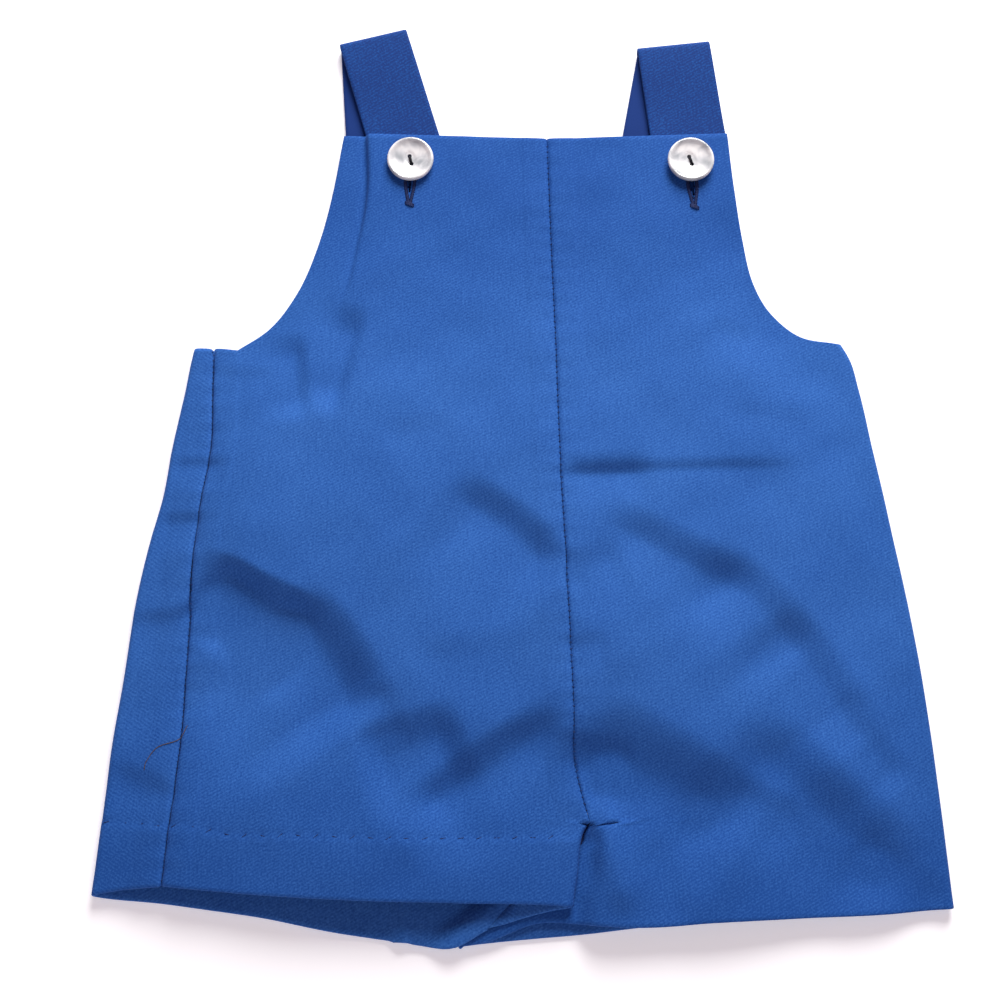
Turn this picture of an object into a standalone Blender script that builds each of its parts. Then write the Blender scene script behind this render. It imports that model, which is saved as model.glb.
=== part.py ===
"""A baby's shortalls laid flat on their backs: two fronts, two backs, two straps and two buttons.

Left and right are the wearer's. x runs to the wearer's left, y from the hems to the straps, and z up
from the surface under the cloth. Sizes are in millimetres until a mesh is made, where they are moved
so that the garment's middle is at the origin.
"""

import math

import bmesh
import bpy
import numpy as np

MM = 0.001
MIDDLE_Y = -0.64

# Cloth and its folds.
CLOTH = 1.2
STRAP_CLOTH = 1.6
SEAM_GAP = 0.3
SIDE_FOLD_RADIUS = 2.0
LEG_FOLD_RADIUS = 1.6
STRAP_FOLD_RADIUS = 2.4
LOWEST_FRONT = 2 * CLOTH + 0.5
SHARP_EDGE = math.radians(40)

# Cut of the garment.
BACK_BIB_TOP = 119.0
CROTCH_Y = -130.0
SEAM_PAST_FOLD = 4.0
INSEAM_WRAP = 30.0
LEG_LENGTH = 35.0
CROTCH_X = 23.1
CROTCH_LINE_RISE = 0.04
STRAP_FRONT_TOP_Z = 3.5
STRAP_WIDTH = 26.5
STRAP_END_Y = 102.0
STRAP_SHOULDER = 12.0
STRAP_CLEARANCE = 2.0
STRAP_SETTLING = 1.15
BIB_OVER_STRAP = STRAP_FRONT_TOP_Z + CLOTH + 0.45

# Levels where the right leg lies over the left leg.
CROTCH_TOP = 5.0
LOWER_LEG_TOP = 3.2
UPPER_LEG_BOTTOM = 3.6
UPPER_LEG_TOP = 7.2
CLIMB_LENGTH = 7.0
CLIMB_WIDTH = 12.0
CLIMB_START = 13.0
CROTCH_DIP_RADIUS = 20.0

# Right underarm: the top edge runs level from the side to the armhole's curve, and dips where it starts.
FRONT_LEDGE = 8.8
BACK_LEDGE = 13.0
UNDERARM_DIP_X = 103.0
UNDERARM_DIP_WIDTH = 6.0

# Steps of the walls' grids: columns across a panel, and rows from the hem to the crotch.
FRONT_STEPS = 16
BACK_STEPS = 8
LEDGE_STEPS = 2
INNER_STEPS = 3
FOLD_STEPS = 5
SEAM_STEPS = 2
STRIP_STEPS = 3
INNER_BAND = 9.0
UNUSED_STEP = 1.0
LEG_SHARES = (0.0, 0.25, 0.5, 0.68, 0.8, 0.9, 0.96)
ROW_PASSES = 6
CREASE_FADE = 0.62

# Buttons.
BUTTON_HOLE_RADIUS = 0.8
BUTTON_HOLE_OFFSET = 1.6
BUTTON_SEAT_GAP = 0.3
BUTTON_SEGMENTS = 28
CUTTER_SEGMENTS = 12
CUTTER_LENGTH = 20.0


def table(names, *rows):
    """Rows of numbers as columns that are looked up by name; the first column is the position."""
    return {name: np.array(values, float) for name, values in zip(names.split(), zip(*rows))}


SIDES = table(
    "y right_fold left_fold side_seam",
    (-175, -149.1, 148.2, -124.0),
    (-154, -147.0, 146.4, -122.4),
    (-130, -144.9, 144.8, -120.7),
    (-100, -142.5, 142.6, -118.3),
    (-80, -140.0, 140.7, -118.2),
    (-56, -137.6, 137.6, -117.4),
    (-30, -133.0, 133.4, -116.6),
    (-15, -129.4, 131.0, -114.9),
    (2, -127.2, 128.0, -112.7),
    (25, -123.2, 124.1, -113.0),
    (37, -121.2, 121.2, -113.2),
    (43, -120.3, 118.0, -113.3),
)

CENTRE = table(
    "y front_seam back_seam",
    (-130, 23.1, 23.1),
    (-122, 20.9, 21.5),
    (-112, 18.7, 19.5),
    (-90, 17.8, 17.5),
    (-45, 16.0, 13.5),
    (0, 13.9, 10.0),
    (41, 12.8, 7.0),
    (80, 11.5, 4.0),
    (124, 10.1, 1.0),
)

# Inner edges of the two legs below the crotch: the right leg lies on the left one.
LEG_EDGES = table(
    "y right_leg left_leg",
    (-173, 16.6, -23.8),
    (-165, 17.1, -16.0),
    (-157.5, 17.7, -7.0),
    (-147, 18.9, 6.0),
    (-140, 19.4, 15.4),
    (-137, 19.8, 20.1),
    (-133.5, 20.8, 21.2),
    (-130, 22.9, 23.3),
)

# Height of the front over its edges, and the x from which it rises towards the middle.
SWELL = table(
    "y edge_z height from_right from_left",
    (-175, 4.0, 4.2, -148, 147),
    (-120, 4.0, 4.6, -144, 143),
    (-60, 4.0, 4.8, -138, 137),
    (0, 4.0, 3.4, -127, 127),
    (25, 3.9, 2.8, -119, 119),
    (45, 3.7, 2.3, -104, 106),
    (60, 3.4, 2.1, -92, 96),
    (90, 3.2, 1.9, -78, 86),
    (126, 3.2, 1.8, -68, 82),
)
SWELL_SHOULDER = 38.0

# The right leg's front stands open over its back at the hem.
HEM_LIFT = {"height": 2.8, "x": -62.0, "width": 48.0, "from_y": -105.0, "length": 45.0}

RIGHT_HEM = table(
    "s front_y",
    (-124, -150.3),
    (-92, -152.9),
    (-58, -154.8),
    (-24, -155.8),
    (18, -157.5),
    (24, -158.3),
    (52, -166.0),
)

RIGHT_BACK_HEM = table(
    "s back_y",
    (-180, -150.0),
    (-155, -152.6),
    (-147, -154.1),
    (-122, -156.8),
    (-92, -160.8),
    (-58, -167.0),
    (-40, -169.4),
    (-23, -170.8),
    (-12, -165.0),
    (10, -159.0),
    (20, -157.5),
)

LEFT_HEM = table(
    "s front_y back_y",
    (-24, -171.0, -171.0),
    (-12, -168.9, -169.6),
    (5.5, -162.9, -168.0),
    (20, -163.2, -166.8),
    (41, -163.9, -164.4),
    (64, -162.4, -162.2),
    (94, -161.0, -160.6),
    (128, -159.4, -158.9),
    (147, -158.1, -157.8),
    (156, -157.9, -157.6),
)

# Armhole and bib corners, from the underarm up: share of the way, then each edge's x and y.
RIGHT_ARMHOLE = table(
    "share front_x front_y back_x back_y",
    (0.00, -104.4, 39.4, -106.0, 39.2),
    (0.17, -92.5, 48.0, -93.0, 45.5),
    (0.36, -83.0, 61.5, -82.0, 59.0),
    (0.58, -75.8, 80.0, -74.0, 78.0),
    (0.80, -70.6, 102.0, -69.0, 99.0),
    (1.00, -67.0, 125.2, -65.6, 119.0),
)

LEFT_ARMHOLE = table(
    "share front_x front_y back_x back_y",
    (0.00, 116.3, 42.0, 113.5, 40.4),
    (0.12, 104.0, 44.2, 104.0, 42.0),
    (0.27, 93.0, 53.2, 92.5, 51.0),
    (0.44, 86.3, 66.0, 84.5, 64.0),
    (0.63, 82.9, 84.0, 77.0, 82.0),
    (0.82, 80.4, 104.0, 70.5, 101.0),
    (1.00, 78.6, 125.4, 66.6, 119.0),
)

# Largest creases of the front: centre, length, angle from x, half width, and depth, negative for a ridge.
CREASES = table(
    "x y length angle width depth",
    (-88, -51, 52, -25.5, 7.0, 1.9),
    (-92, -66, 44, -22.0, 10.0, -0.9),
    (-66, -77, 26, -28.0, 9.0, 1.2),
    (-42, -101, 30, -21.0, 9.0, 1.3),
    (-18, -110, 56, 33.0, 7.0, 1.9),
    (-28, -122, 46, 30.0, 9.0, -0.8),
    (38, -101, 46, 12.0, 10.0, 1.8),
    (68, -109, 58, -37.0, 11.0, 1.5),
    (56, -128, 40, -30.0, 12.0, -0.9),
    (52, -30, 46, -29.0, 6.5, 1.5),
    (84, -54, 50, -44.0, 9.0, 1.1),
    (111, -104, 52, -59.0, 9.0, 0.9),
    (54, -5.5, 84, 1.5, 5.0, 1.6),
    (58, -16, 80, 1.5, 8.0, -0.7),
    (-8, -21, 52, -41.0, 7.0, 1.1),
    (-62, 34, 36, -104.0, 6.0, 0.8),
    (-79, 29, 26, -84.0, 6.0, 0.6),
    (115, -123, 36, -36.0, 7.0, 0.9),
    (27, -124, 22, -75.0, 4.0, 1.8),
)

STRAP_STEPS = {"behind": 5, "fold": 8, "over": 6, "under_bib": 3, "across": 3}
STRAPS = {
    "strap_right": {
        "start": ((-65.9, 119.3), (-39.6, 119.3)),
        "fold": ((-69.6, 164.0), (-44.6, 170.4)),
        "bib": ((-58.6, 125.7), (-31.3, 126.1)),
        "end": ((-51.8, STRAP_END_Y), (-24.1, STRAP_END_Y)),
    },
    "strap_left": {
        "start": ((38.4, 119.3), (65.0, 119.3)),
        "fold": ((45.7, 162.3), (72.9, 165.3)),
        "bib": ((50.0, 125.7), (78.2, 125.6)),
        "end": ((52.5, STRAP_END_Y), (79.4, STRAP_END_Y)),
    },
}

BUTTONS = {
    "button_right": {"centre": (-41.5, 114.0), "thread_angle": -71.0},
    "button_left": {"centre": (64.3, 113.8), "thread_angle": -64.0},
}

# Profile of a button from its middle, round the rim, back to its middle: radius and height.
BUTTON_PROFILE = (
    (0.0, 0.0),
    (5.6, 0.0),
    (7.7, 0.7),
    (8.6, 1.5),
    (8.75, 2.1),
    (8.5, 2.7),
    (8.0, 2.95),
    (7.4, 2.75),
    (6.4, 2.15),
    (4.6, 1.75),
    (3.2, 1.65),
    (2.7, 1.4),
    (0.0, 1.35),
)


def through(rows, column, at):
    """A smooth curve through one column of a table."""
    known = rows[next(iter(rows))]
    values = rows[column]
    at = np.clip(at, known[0], known[-1])
    slopes = np.gradient(values, known)
    i = np.clip(np.searchsorted(known, at) - 1, 0, len(known) - 2)
    span = known[i + 1] - known[i]
    t = (at - known[i]) / span
    start = (1 + 2 * t) * (1 - t) ** 2 * values[i] + t * (1 - t) ** 2 * span * slopes[i]
    stop = t * t * (3 - 2 * t) * values[i + 1] - t * t * (1 - t) * span * slopes[i + 1]
    return start + stop


def ease(t):
    t = np.clip(t, 0.0, 1.0)
    return t * t * (3 - 2 * t)


def mix(a, b, share):
    return a + (b - a) * share


def crease_depth(x, y):
    """Sum of the soft troughs and ridges, each fading towards its ends."""
    total = np.zeros(np.broadcast(x, y).shape)
    for i in range(len(CREASES["x"])):
        turn = math.radians(CREASES["angle"][i])
        along = (x - CREASES["x"][i]) * math.cos(turn) + (y - CREASES["y"][i]) * math.sin(turn)
        across = (y - CREASES["y"][i]) * math.cos(turn) - (x - CREASES["x"][i]) * math.sin(turn)
        fade = ease(1 - np.abs(along) / (CREASE_FADE * CREASES["length"][i]))
        total = total + CREASES["depth"][i] * fade * np.exp(-((across / CREASES["width"][i]) ** 2))
    return total


def strap_middle(name, y):
    """x of a strap's middle under the bib at the height y of the garment."""
    strap = STRAPS[name]
    upper = (strap["bib"][0][0] + strap["bib"][1][0]) / 2
    lower = (strap["end"][0][0] + strap["end"][1][0]) / 2
    return mix(lower, upper, (y - STRAP_END_Y) / (strap["bib"][0][1] - STRAP_END_Y))


def over_straps(x, y):
    """1 where the front bib lies on a strap, 0 away from it."""
    cover = np.zeros(np.broadcast(x, y).shape)
    reach = STRAP_SHOULDER + STRAP_CLEARANCE
    for name in STRAPS:
        away = np.abs(x - strap_middle(name, y))
        cover = np.maximum(cover, ease((STRAP_WIDTH / 2 + reach - away) / STRAP_SHOULDER))
    return cover * ease((y - STRAP_END_Y + reach) / STRAP_SHOULDER)


def past_crotch(y):
    return ease((CROTCH_Y - y) / CLIMB_LENGTH)


def inner_edge(column, y):
    """The centre front seam, and below the crotch a leg's inner edge."""
    seam = through(CENTRE, "front_seam", y)
    return np.where(y >= CROTCH_Y, seam, through(LEG_EDGES, column, y))


def open_front(x, y):
    """Height of the front's outer face before the crotch pulls it down."""
    rise = ease((x - through(SWELL, "from_right", y)) / SWELL_SHOULDER)
    fall = ease((through(SWELL, "from_left", y) - x) / SWELL_SHOULDER)
    z = through(SWELL, "edge_z", y) + through(SWELL, "height", y) * rise * fall
    lift = HEM_LIFT["height"] * np.exp(-(((x - HEM_LIFT["x"]) / HEM_LIFT["width"]) ** 2))
    lift = lift * ease((HEM_LIFT["from_y"] - y) / HEM_LIFT["length"])
    z = z + lift - crease_depth(x, y) * rise * fall
    return mix(z, BIB_OVER_STRAP, over_straps(x, y))


def right_front_z(x, y):
    edge = inner_edge("right_leg", y)
    low = mix(CROTCH_TOP, UPPER_LEG_TOP, past_crotch(y))
    reach = np.minimum(x - edge, 0) ** 2 + np.maximum(y - CROTCH_Y, 0) ** 2
    pull = np.exp(-reach / CROTCH_DIP_RADIUS**2)
    return np.maximum(mix(open_front(x, y), low, pull), LOWEST_FRONT)


def left_front_z(x, y):
    edge = inner_edge("right_leg", y)
    low = mix(CROTCH_TOP, LOWER_LEG_TOP, past_crotch(y))
    reach = np.maximum(x - edge, 0) ** 2 + np.maximum(y - CROTCH_Y, 0) ** 2
    pull = np.exp(-reach / CROTCH_DIP_RADIUS**2)
    return np.maximum(mix(open_front(x, y), low, pull), LOWEST_FRONT)


def right_back_z(x, y):
    """Underside of the right leg's back: on the surface, then up over the left leg."""
    lower_leg = through(LEG_EDGES, "left_leg", y)
    climb = ease((x - lower_leg + CLIMB_START) / CLIMB_WIDTH)
    return UPPER_LEG_BOTTOM * climb * past_crotch(y)


def left_back_z(x, y):
    return np.zeros(np.broadcast(x, y).shape)


def fold_over(s, y, near, far, edge, radius, side):
    """Places the cloth coordinate s: flat on its own layer, round the fold, then on the other layer.

    side is 1 for a fold on the +x side and -1 on the -x side. near and far give the layers' heights.
    """
    start = edge - side * radius
    past = side * (s - start)
    turn = np.clip(past / radius, 0, math.pi)
    x = np.where(past <= 0, s, start + side * radius * np.sin(turn))
    x = np.where(past > math.pi * radius, start - side * (past - math.pi * radius), x)
    bend_near = near(start, y)
    bend_far = far(start, y)
    z = mix(bend_near, bend_far, (1 - np.cos(turn)) / 2)
    z = np.where(past <= 0, near(s, y), z)
    z = np.where(past > math.pi * radius, far(x, y), z)
    return x, z


def inseam_wrap(y):
    """How far the right leg's front runs past the start of its inner fold, to the inseam."""
    quarter = LEG_FOLD_RADIUS * math.pi / 2
    return quarter + INSEAM_WRAP * np.clip((CROTCH_Y - y) / LEG_LENGTH, 0, 1)


def evenly(start, stop, steps):
    """Places from start to stop, without stop."""
    return np.linspace(start, stop, steps, endpoint=False)


def front_right_columns(y_in, y_out, armhole_x=None):
    if y_in < CROTCH_Y:
        fold = through(LEG_EDGES, "right_leg", y_in) - LEG_FOLD_RADIUS
        wrap = inseam_wrap(y_in)
        arc = min(wrap * 2 / 3, math.pi * LEG_FOLD_RADIUS)
        arc_steps = 2 * INNER_STEPS - SEAM_STEPS
        inner = [evenly(fold + wrap, fold + arc, SEAM_STEPS), evenly(fold + arc, fold, arc_steps)]
    else:
        seam = through(CENTRE, "front_seam", y_in) - SEAM_GAP / 2
        fold = seam - INNER_BAND
        inner = [evenly(seam, fold, 2 * INNER_STEPS)]
    side = through(SIDES, "side_seam", y_out) + SEAM_GAP / 2
    ledge = side + FRONT_LEDGE
    if armhole_x is not None:
        ledge = armhole_x
        side = ledge - UNUSED_STEP
    outer = np.linspace(ledge, side, LEDGE_STEPS + 1)
    return np.concatenate([*inner, evenly(fold, ledge, FRONT_STEPS), outer])


def front_left_columns(y_in, y_out, armhole_x=None):
    if y_in < CROTCH_Y:
        fold = through(LEG_EDGES, "left_leg", y_in) + LEG_FOLD_RADIUS
        seam = fold - LEG_FOLD_RADIUS * math.pi / 2 + SEAM_GAP / 2
    else:
        seam = through(CENTRE, "front_seam", y_in) + SEAM_GAP / 2
        fold = seam + INNER_BAND / 2
    side = through(SIDES, "left_fold", y_out) - SIDE_FOLD_RADIUS
    if armhole_x is not None:
        side = armhole_x
    arc = side + math.pi * SIDE_FOLD_RADIUS
    under = arc + SEAM_PAST_FOLD - SEAM_GAP / 2
    outer = [evenly(side, arc, FOLD_STEPS), np.linspace(arc, under, SEAM_STEPS + 1)]
    return np.concatenate([evenly(seam, fold, INNER_STEPS), evenly(fold, side, FRONT_STEPS), *outer])


def back_right_columns(y_in, y_out, armhole_x=None):
    if y_in < CROTCH_Y:
        fold = through(LEG_EDGES, "right_leg", y_in) - LEG_FOLD_RADIUS
        seam = fold + math.pi * LEG_FOLD_RADIUS - inseam_wrap(y_in) - SEAM_GAP
        fold = min(fold, seam - INNER_BAND / 2)
    else:
        seam = through(CENTRE, "back_seam", y_in) - SEAM_GAP / 2
        fold = seam - INNER_BAND / 2
    side = through(SIDES, "right_fold", y_out) + SIDE_FOLD_RADIUS
    seam_x = through(SIDES, "side_seam", y_out) - SEAM_GAP / 2
    arc = side - math.pi * SIDE_FOLD_RADIUS
    over = arc - (seam_x - side)
    ledge = side + BACK_LEDGE
    if armhole_x is not None:
        ledge = armhole_x
        side = ledge - UNUSED_STEP
        arc = side - UNUSED_STEP
        over = arc - UNUSED_STEP
    return np.concatenate([
        evenly(seam, fold, INNER_STEPS),
        evenly(fold, ledge, BACK_STEPS),
        evenly(ledge, side, LEDGE_STEPS),
        evenly(side, arc, FOLD_STEPS),
        np.linspace(arc, over, STRIP_STEPS + 1),
    ])


def back_left_columns(y_in, y_out, armhole_x=None):
    if y_in < CROTCH_Y:
        fold = through(LEG_EDGES, "left_leg", y_in) + LEG_FOLD_RADIUS
        seam = fold - LEG_FOLD_RADIUS * math.pi / 2 + SEAM_GAP / 2
    else:
        seam = through(CENTRE, "back_seam", y_in) + SEAM_GAP / 2
        fold = seam + INNER_BAND / 2
    side = through(SIDES, "left_fold", y_out) - SIDE_FOLD_RADIUS - SEAM_PAST_FOLD - SEAM_GAP / 2
    if armhole_x is not None:
        side = armhole_x
    return np.concatenate([evenly(seam, fold, INNER_STEPS), np.linspace(fold, side, BACK_STEPS + 2)])


def row_between(lower, upper, share, columns):
    """A row between two lines of the cloth, which are y as functions of the cloth coordinate."""
    y_in = y_out = CROTCH_Y
    for _ in range(ROW_PASSES):
        s = columns(y_in, y_out)
        y = mix(lower(s), upper(s), share)
        y_in = y[0]
        y_out = y[-1]
    return s, y


def crotch_line(s):
    return CROTCH_Y + CROTCH_LINE_RISE * np.abs(s - CROTCH_X)


def panel_grid(piece):
    """Points of a panel's outer face, row by row from the hem to the top of its bib."""
    columns = piece["columns"]
    hem_rows, hem_column = piece["hem"]
    armhole_rows, layer = piece["armhole"]

    def hem(s):
        return through(hem_rows, hem_column, s)

    def underarm(s):
        dip = piece["underarm_dip"] * np.exp(-(((np.abs(s) - UNDERARM_DIP_X) / UNDERARM_DIP_WIDTH) ** 2))
        return piece["underarm_y"] + piece["underarm_rise"] * np.abs(s - CROTCH_X) - dip

    stretches = (
        (hem, crotch_line, LEG_SHARES),
        (crotch_line, underarm, np.linspace(0, 1, piece["body_rows"] + 1)),
    )
    grid = []
    for lower, upper, shares in stretches:
        for share in shares:
            s, y = row_between(lower, upper, share, columns)
            x, z = piece["place"](s, y)
            grid.append(np.stack([x, y, z], axis=-1))
    for share in np.linspace(0, 1, piece["bib_rows"] + 1)[1:]:
        y_in = mix(underarm(CROTCH_X), piece["bib_top"], share)
        x_out = through(armhole_rows, layer + "_x", share)
        y_out = through(armhole_rows, layer + "_y", share)
        s = columns(y_in, y_out, x_out)
        across = np.clip((s - s[0]) / (x_out - s[0]), 0, 1)
        y = underarm(s) + mix(y_in - underarm(s[0]), y_out - underarm(x_out), across)
        grid.append(np.stack([s, y, piece["near"](s, y)], axis=-1))
    return np.array(grid)


def place_front_right(s, y):
    if y[0] >= CROTCH_Y:
        return s, right_front_z(s, y)
    edge = through(LEG_EDGES, "right_leg", y[0])
    return fold_over(s, y, right_front_z, right_back_z, edge, LEG_FOLD_RADIUS, 1)


def place_front_left(s, y):
    side = through(SIDES, "left_fold", y[-1])
    x, z = fold_over(s, y, left_front_z, left_back_z, side, SIDE_FOLD_RADIUS, 1)
    if y[0] < CROTCH_Y:
        edge = through(LEG_EDGES, "left_leg", y[0])
        inner = s < edge + 2 * LEG_FOLD_RADIUS
        leg_x, leg_z = fold_over(s, y, left_front_z, left_back_z, edge, LEG_FOLD_RADIUS, -1)
        x = np.where(inner, leg_x, x)
        z = np.where(inner, leg_z, z)
    return x, z


def place_back_right(s, y):
    side = through(SIDES, "right_fold", y[-1])
    x, z = fold_over(s, y, right_back_z, right_front_z, side, SIDE_FOLD_RADIUS, -1)
    if y[0] < CROTCH_Y:
        edge = through(LEG_EDGES, "right_leg", y[0])
        inner = s > edge - 2 * LEG_FOLD_RADIUS
        leg_x, leg_z = fold_over(s, y, right_back_z, right_front_z, edge, LEG_FOLD_RADIUS, 1)
        x = np.where(inner, leg_x, x)
        z = np.where(inner, leg_z, z)
    return x, z


def place_back_left(s, y):
    if y[0] >= CROTCH_Y:
        return s, left_back_z(s, y)
    edge = through(LEG_EDGES, "left_leg", y[0])
    return fold_over(s, y, left_back_z, left_front_z, edge, LEG_FOLD_RADIUS, -1)


PANELS = {
    "front_right": {
        "columns": front_right_columns,
        "place": place_front_right,
        "near": right_front_z,
        "hem": (RIGHT_HEM, "front_y"),
        "armhole": (RIGHT_ARMHOLE, "front"),
        "underarm_y": 41.0,
        "underarm_rise": -0.006,
        "underarm_dip": 0.88,
        "bib_top": 123.5,
        "body_rows": 20,
        "bib_rows": 11,
        "folded_columns": LEDGE_STEPS,
        "outward": 1,
    },
    "front_left": {
        "columns": front_left_columns,
        "place": place_front_left,
        "near": left_front_z,
        "hem": (LEFT_HEM, "front_y"),
        "armhole": (LEFT_ARMHOLE, "front"),
        "underarm_y": 41.0,
        "underarm_rise": 0.011,
        "underarm_dip": 0.0,
        "bib_top": 123.5,
        "body_rows": 20,
        "bib_rows": 11,
        "folded_columns": FOLD_STEPS + SEAM_STEPS,
        "outward": 1,
    },
    "back_right": {
        "columns": back_right_columns,
        "place": place_back_right,
        "near": right_back_z,
        "hem": (RIGHT_BACK_HEM, "back_y"),
        "armhole": (RIGHT_ARMHOLE, "back"),
        "underarm_y": 38.0,
        "underarm_rise": 0.015,
        "underarm_dip": 0.95,
        "bib_top": BACK_BIB_TOP,
        "body_rows": 14,
        "bib_rows": 6,
        "folded_columns": LEDGE_STEPS + FOLD_STEPS + STRIP_STEPS,
        "outward": -1,
    },
    "back_left": {
        "columns": back_left_columns,
        "place": place_back_left,
        "near": left_back_z,
        "hem": (LEFT_HEM, "back_y"),
        "armhole": (LEFT_ARMHOLE, "back"),
        "underarm_y": 38.0,
        "underarm_rise": 0.02,
        "underarm_dip": 0.0,
        "bib_top": BACK_BIB_TOP,
        "body_rows": 14,
        "bib_rows": 6,
        "folded_columns": 0,
        "outward": -1,
    },
}


def outer_normals(grid, outward):
    """Unit normals of a grid, turned so that most of them point up or down as outward says."""
    along = np.gradient(grid, axis=0, edge_order=2)
    across = np.gradient(grid, axis=1, edge_order=2)
    normals = np.cross(across, along)
    normals /= np.linalg.norm(normals, axis=-1, keepdims=True)
    if np.median(normals[..., 2]) * outward < 0:
        normals = -normals
    return normals


def wall_mesh(name, grid, outward, thickness, folded_columns=0, bib_start=None):
    """A closed wall: the grid, the same grid moved in by the thickness, and a rim between them.

    The last folded_columns columns stop at the row bib_start.
    """
    normals = outer_normals(grid, outward)
    rows, count = grid.shape[:2]
    if folded_columns:
        last = count - 1 - folded_columns
        normals[bib_start + 1 :, last] = normals[bib_start + 1 :, last - 1]
    inner = grid - normals * thickness
    shell = bmesh.new()
    faces = []
    corners = {}

    def corner(layer, i, j):
        if (layer, i, j) not in corners:
            x, y, z = (grid, inner)[layer][i, j]
            corners[layer, i, j] = shell.verts.new((x * MM, (y - MIDDLE_Y) * MM, z * MM))
        return corners[layer, i, j]

    for i in range(rows - 1):
        for j in range(count - 1):
            if folded_columns and i >= bib_start and j >= count - 1 - folded_columns:
                continue
            quad = [(i, j), (i, j + 1), (i + 1, j + 1), (i + 1, j)]
            faces.append(quad)
            shell.faces.new([corner(0, *place) for place in quad])
            shell.faces.new([corner(1, *place) for place in reversed(quad)])
    edges = {(quad[k], quad[(k + 1) % 4]) for quad in faces for k in range(4)}
    for start, stop in edges:
        if (stop, start) not in edges:
            shell.faces.new([corner(0, *stop), corner(0, *start), corner(1, *start), corner(1, *stop)])
    bmesh.ops.recalc_face_normals(shell, faces=shell.faces)
    mesh = bpy.data.meshes.new(name)
    shell.to_mesh(mesh)
    shell.free()
    return mesh


def strap_grid(strap):
    """A strap's outer face: from the back bib up, round its fold, and down behind the front bib."""
    fold_left, fold_right = (np.array(point) for point in strap["fold"])
    line = (fold_right - fold_left) / np.linalg.norm(fold_right - fold_left)
    outwards = np.array([-line[1], line[0]]) * STRAP_FOLD_RADIUS
    bend = (fold_left - outwards, fold_right - outwards)
    sections = []
    for share in evenly(0, 1, STRAP_STEPS["behind"]):
        ends = [mix(np.array(strap["start"][k]), bend[k], share) for k in range(2)]
        sections.append((*ends, 0.0))
    for turn in evenly(0, math.pi, STRAP_STEPS["fold"]):
        z = STRAP_FOLD_RADIUS * (1 - math.cos(turn))
        ends = [bend[k] + outwards * math.sin(turn) for k in range(2)]
        sections.append((*ends, z))
    for share in evenly(0, 1, STRAP_STEPS["over"]):
        ends = [mix(bend[k], np.array(strap["bib"][k]), share) for k in range(2)]
        settled = ease(share * STRAP_SETTLING)
        sections.append((*ends, mix(2 * STRAP_FOLD_RADIUS, STRAP_FRONT_TOP_Z, settled)))
    for share in np.linspace(0, 1, STRAP_STEPS["under_bib"] + 1):
        ends = [mix(np.array(strap["bib"][k]), np.array(strap["end"][k]), share) for k in range(2)]
        sections.append((*ends, STRAP_FRONT_TOP_Z))
    return np.array([
        [[*mix(left, right, share), z] for share in np.linspace(0, 1, STRAP_STEPS["across"] + 1)]
        for left, right, z in sections
    ])


def button_mesh(name):
    """A button turned from its profile, with two holes bored beside its middle."""
    body = bmesh.new()
    profile = [body.verts.new((radius * MM, 0, z * MM)) for radius, z in BUTTON_PROFILE]
    for a, b in zip(profile, profile[1:]):
        body.edges.new((a, b))
    bmesh.ops.spin(
        body,
        geom=body.verts[:] + body.edges[:],
        cent=(0, 0, 0),
        axis=(0, 0, 1),
        angle=2 * math.pi,
        steps=BUTTON_SEGMENTS,
        use_merge=True,
    )
    bmesh.ops.remove_doubles(body, verts=body.verts, dist=0.01 * MM)
    bmesh.ops.recalc_face_normals(body, faces=body.faces)
    mesh = bpy.data.meshes.new(name)
    body.to_mesh(mesh)
    body.free()
    return mesh


def bore_holes(button, thread_angle):
    """Cuts the two thread holes with cylinders through the button."""
    turn = math.radians(thread_angle)
    for side in (-1, 1):
        bpy.ops.mesh.primitive_cylinder_add(
            vertices=CUTTER_SEGMENTS,
            radius=BUTTON_HOLE_RADIUS * MM,
            depth=CUTTER_LENGTH * MM,
            location=(
                button.location.x + side * BUTTON_HOLE_OFFSET * MM * math.cos(turn),
                button.location.y + side * BUTTON_HOLE_OFFSET * MM * math.sin(turn),
                button.location.z,
            ),
        )
        cutter = bpy.context.object
        cutter.name = f"{button.name}_hole_cutter_{(side + 1) // 2}"
        cutter.hide_render = True
        cutter.display_type = "WIRE"
        cut = button.modifiers.new("thread hole", "BOOLEAN")
        cut.operation = "DIFFERENCE"
        cut.solver = "EXACT"
        cut.object = cutter


def material(name, colour, roughness):
    finish = bpy.data.materials.new(name)
    finish.use_nodes = True
    shader = finish.node_tree.nodes["Principled BSDF"]
    shader.inputs["Base Color"].default_value = (*colour, 1)
    shader.inputs["Roughness"].default_value = roughness
    shader.inputs["Metallic"].default_value = 0.0
    return finish


def add_piece(name, mesh, finish):
    mesh.shade_smooth()
    mesh.set_sharp_from_angle(angle=SHARP_EDGE)
    mesh.materials.append(finish)
    piece = bpy.data.objects.new(name, mesh)
    bpy.context.collection.objects.link(piece)
    return piece


def make_panels(finish):
    for name, piece in PANELS.items():
        grid = panel_grid(piece)
        underarm_row = len(LEG_SHARES) + piece["body_rows"]
        mesh = wall_mesh(name, grid, piece["outward"], CLOTH, piece["folded_columns"], underarm_row)
        add_piece(name, mesh, finish)


def make_straps(finish):
    for name, strap in STRAPS.items():
        add_piece(name, wall_mesh(name, strap_grid(strap), 1, STRAP_CLOTH), finish)


def make_buttons(finish):
    for name, button in BUTTONS.items():
        x, y = button["centre"]
        front_z = right_front_z if x < CROTCH_X else left_front_z
        piece = add_piece(name, button_mesh(name), finish)
        seat = float(front_z(np.array([x]), np.array([y]))[0]) + BUTTON_SEAT_GAP
        piece.location = (x * MM, (y - MIDDLE_Y) * MM, seat * MM)
        bore_holes(piece, button["thread_angle"])


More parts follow.
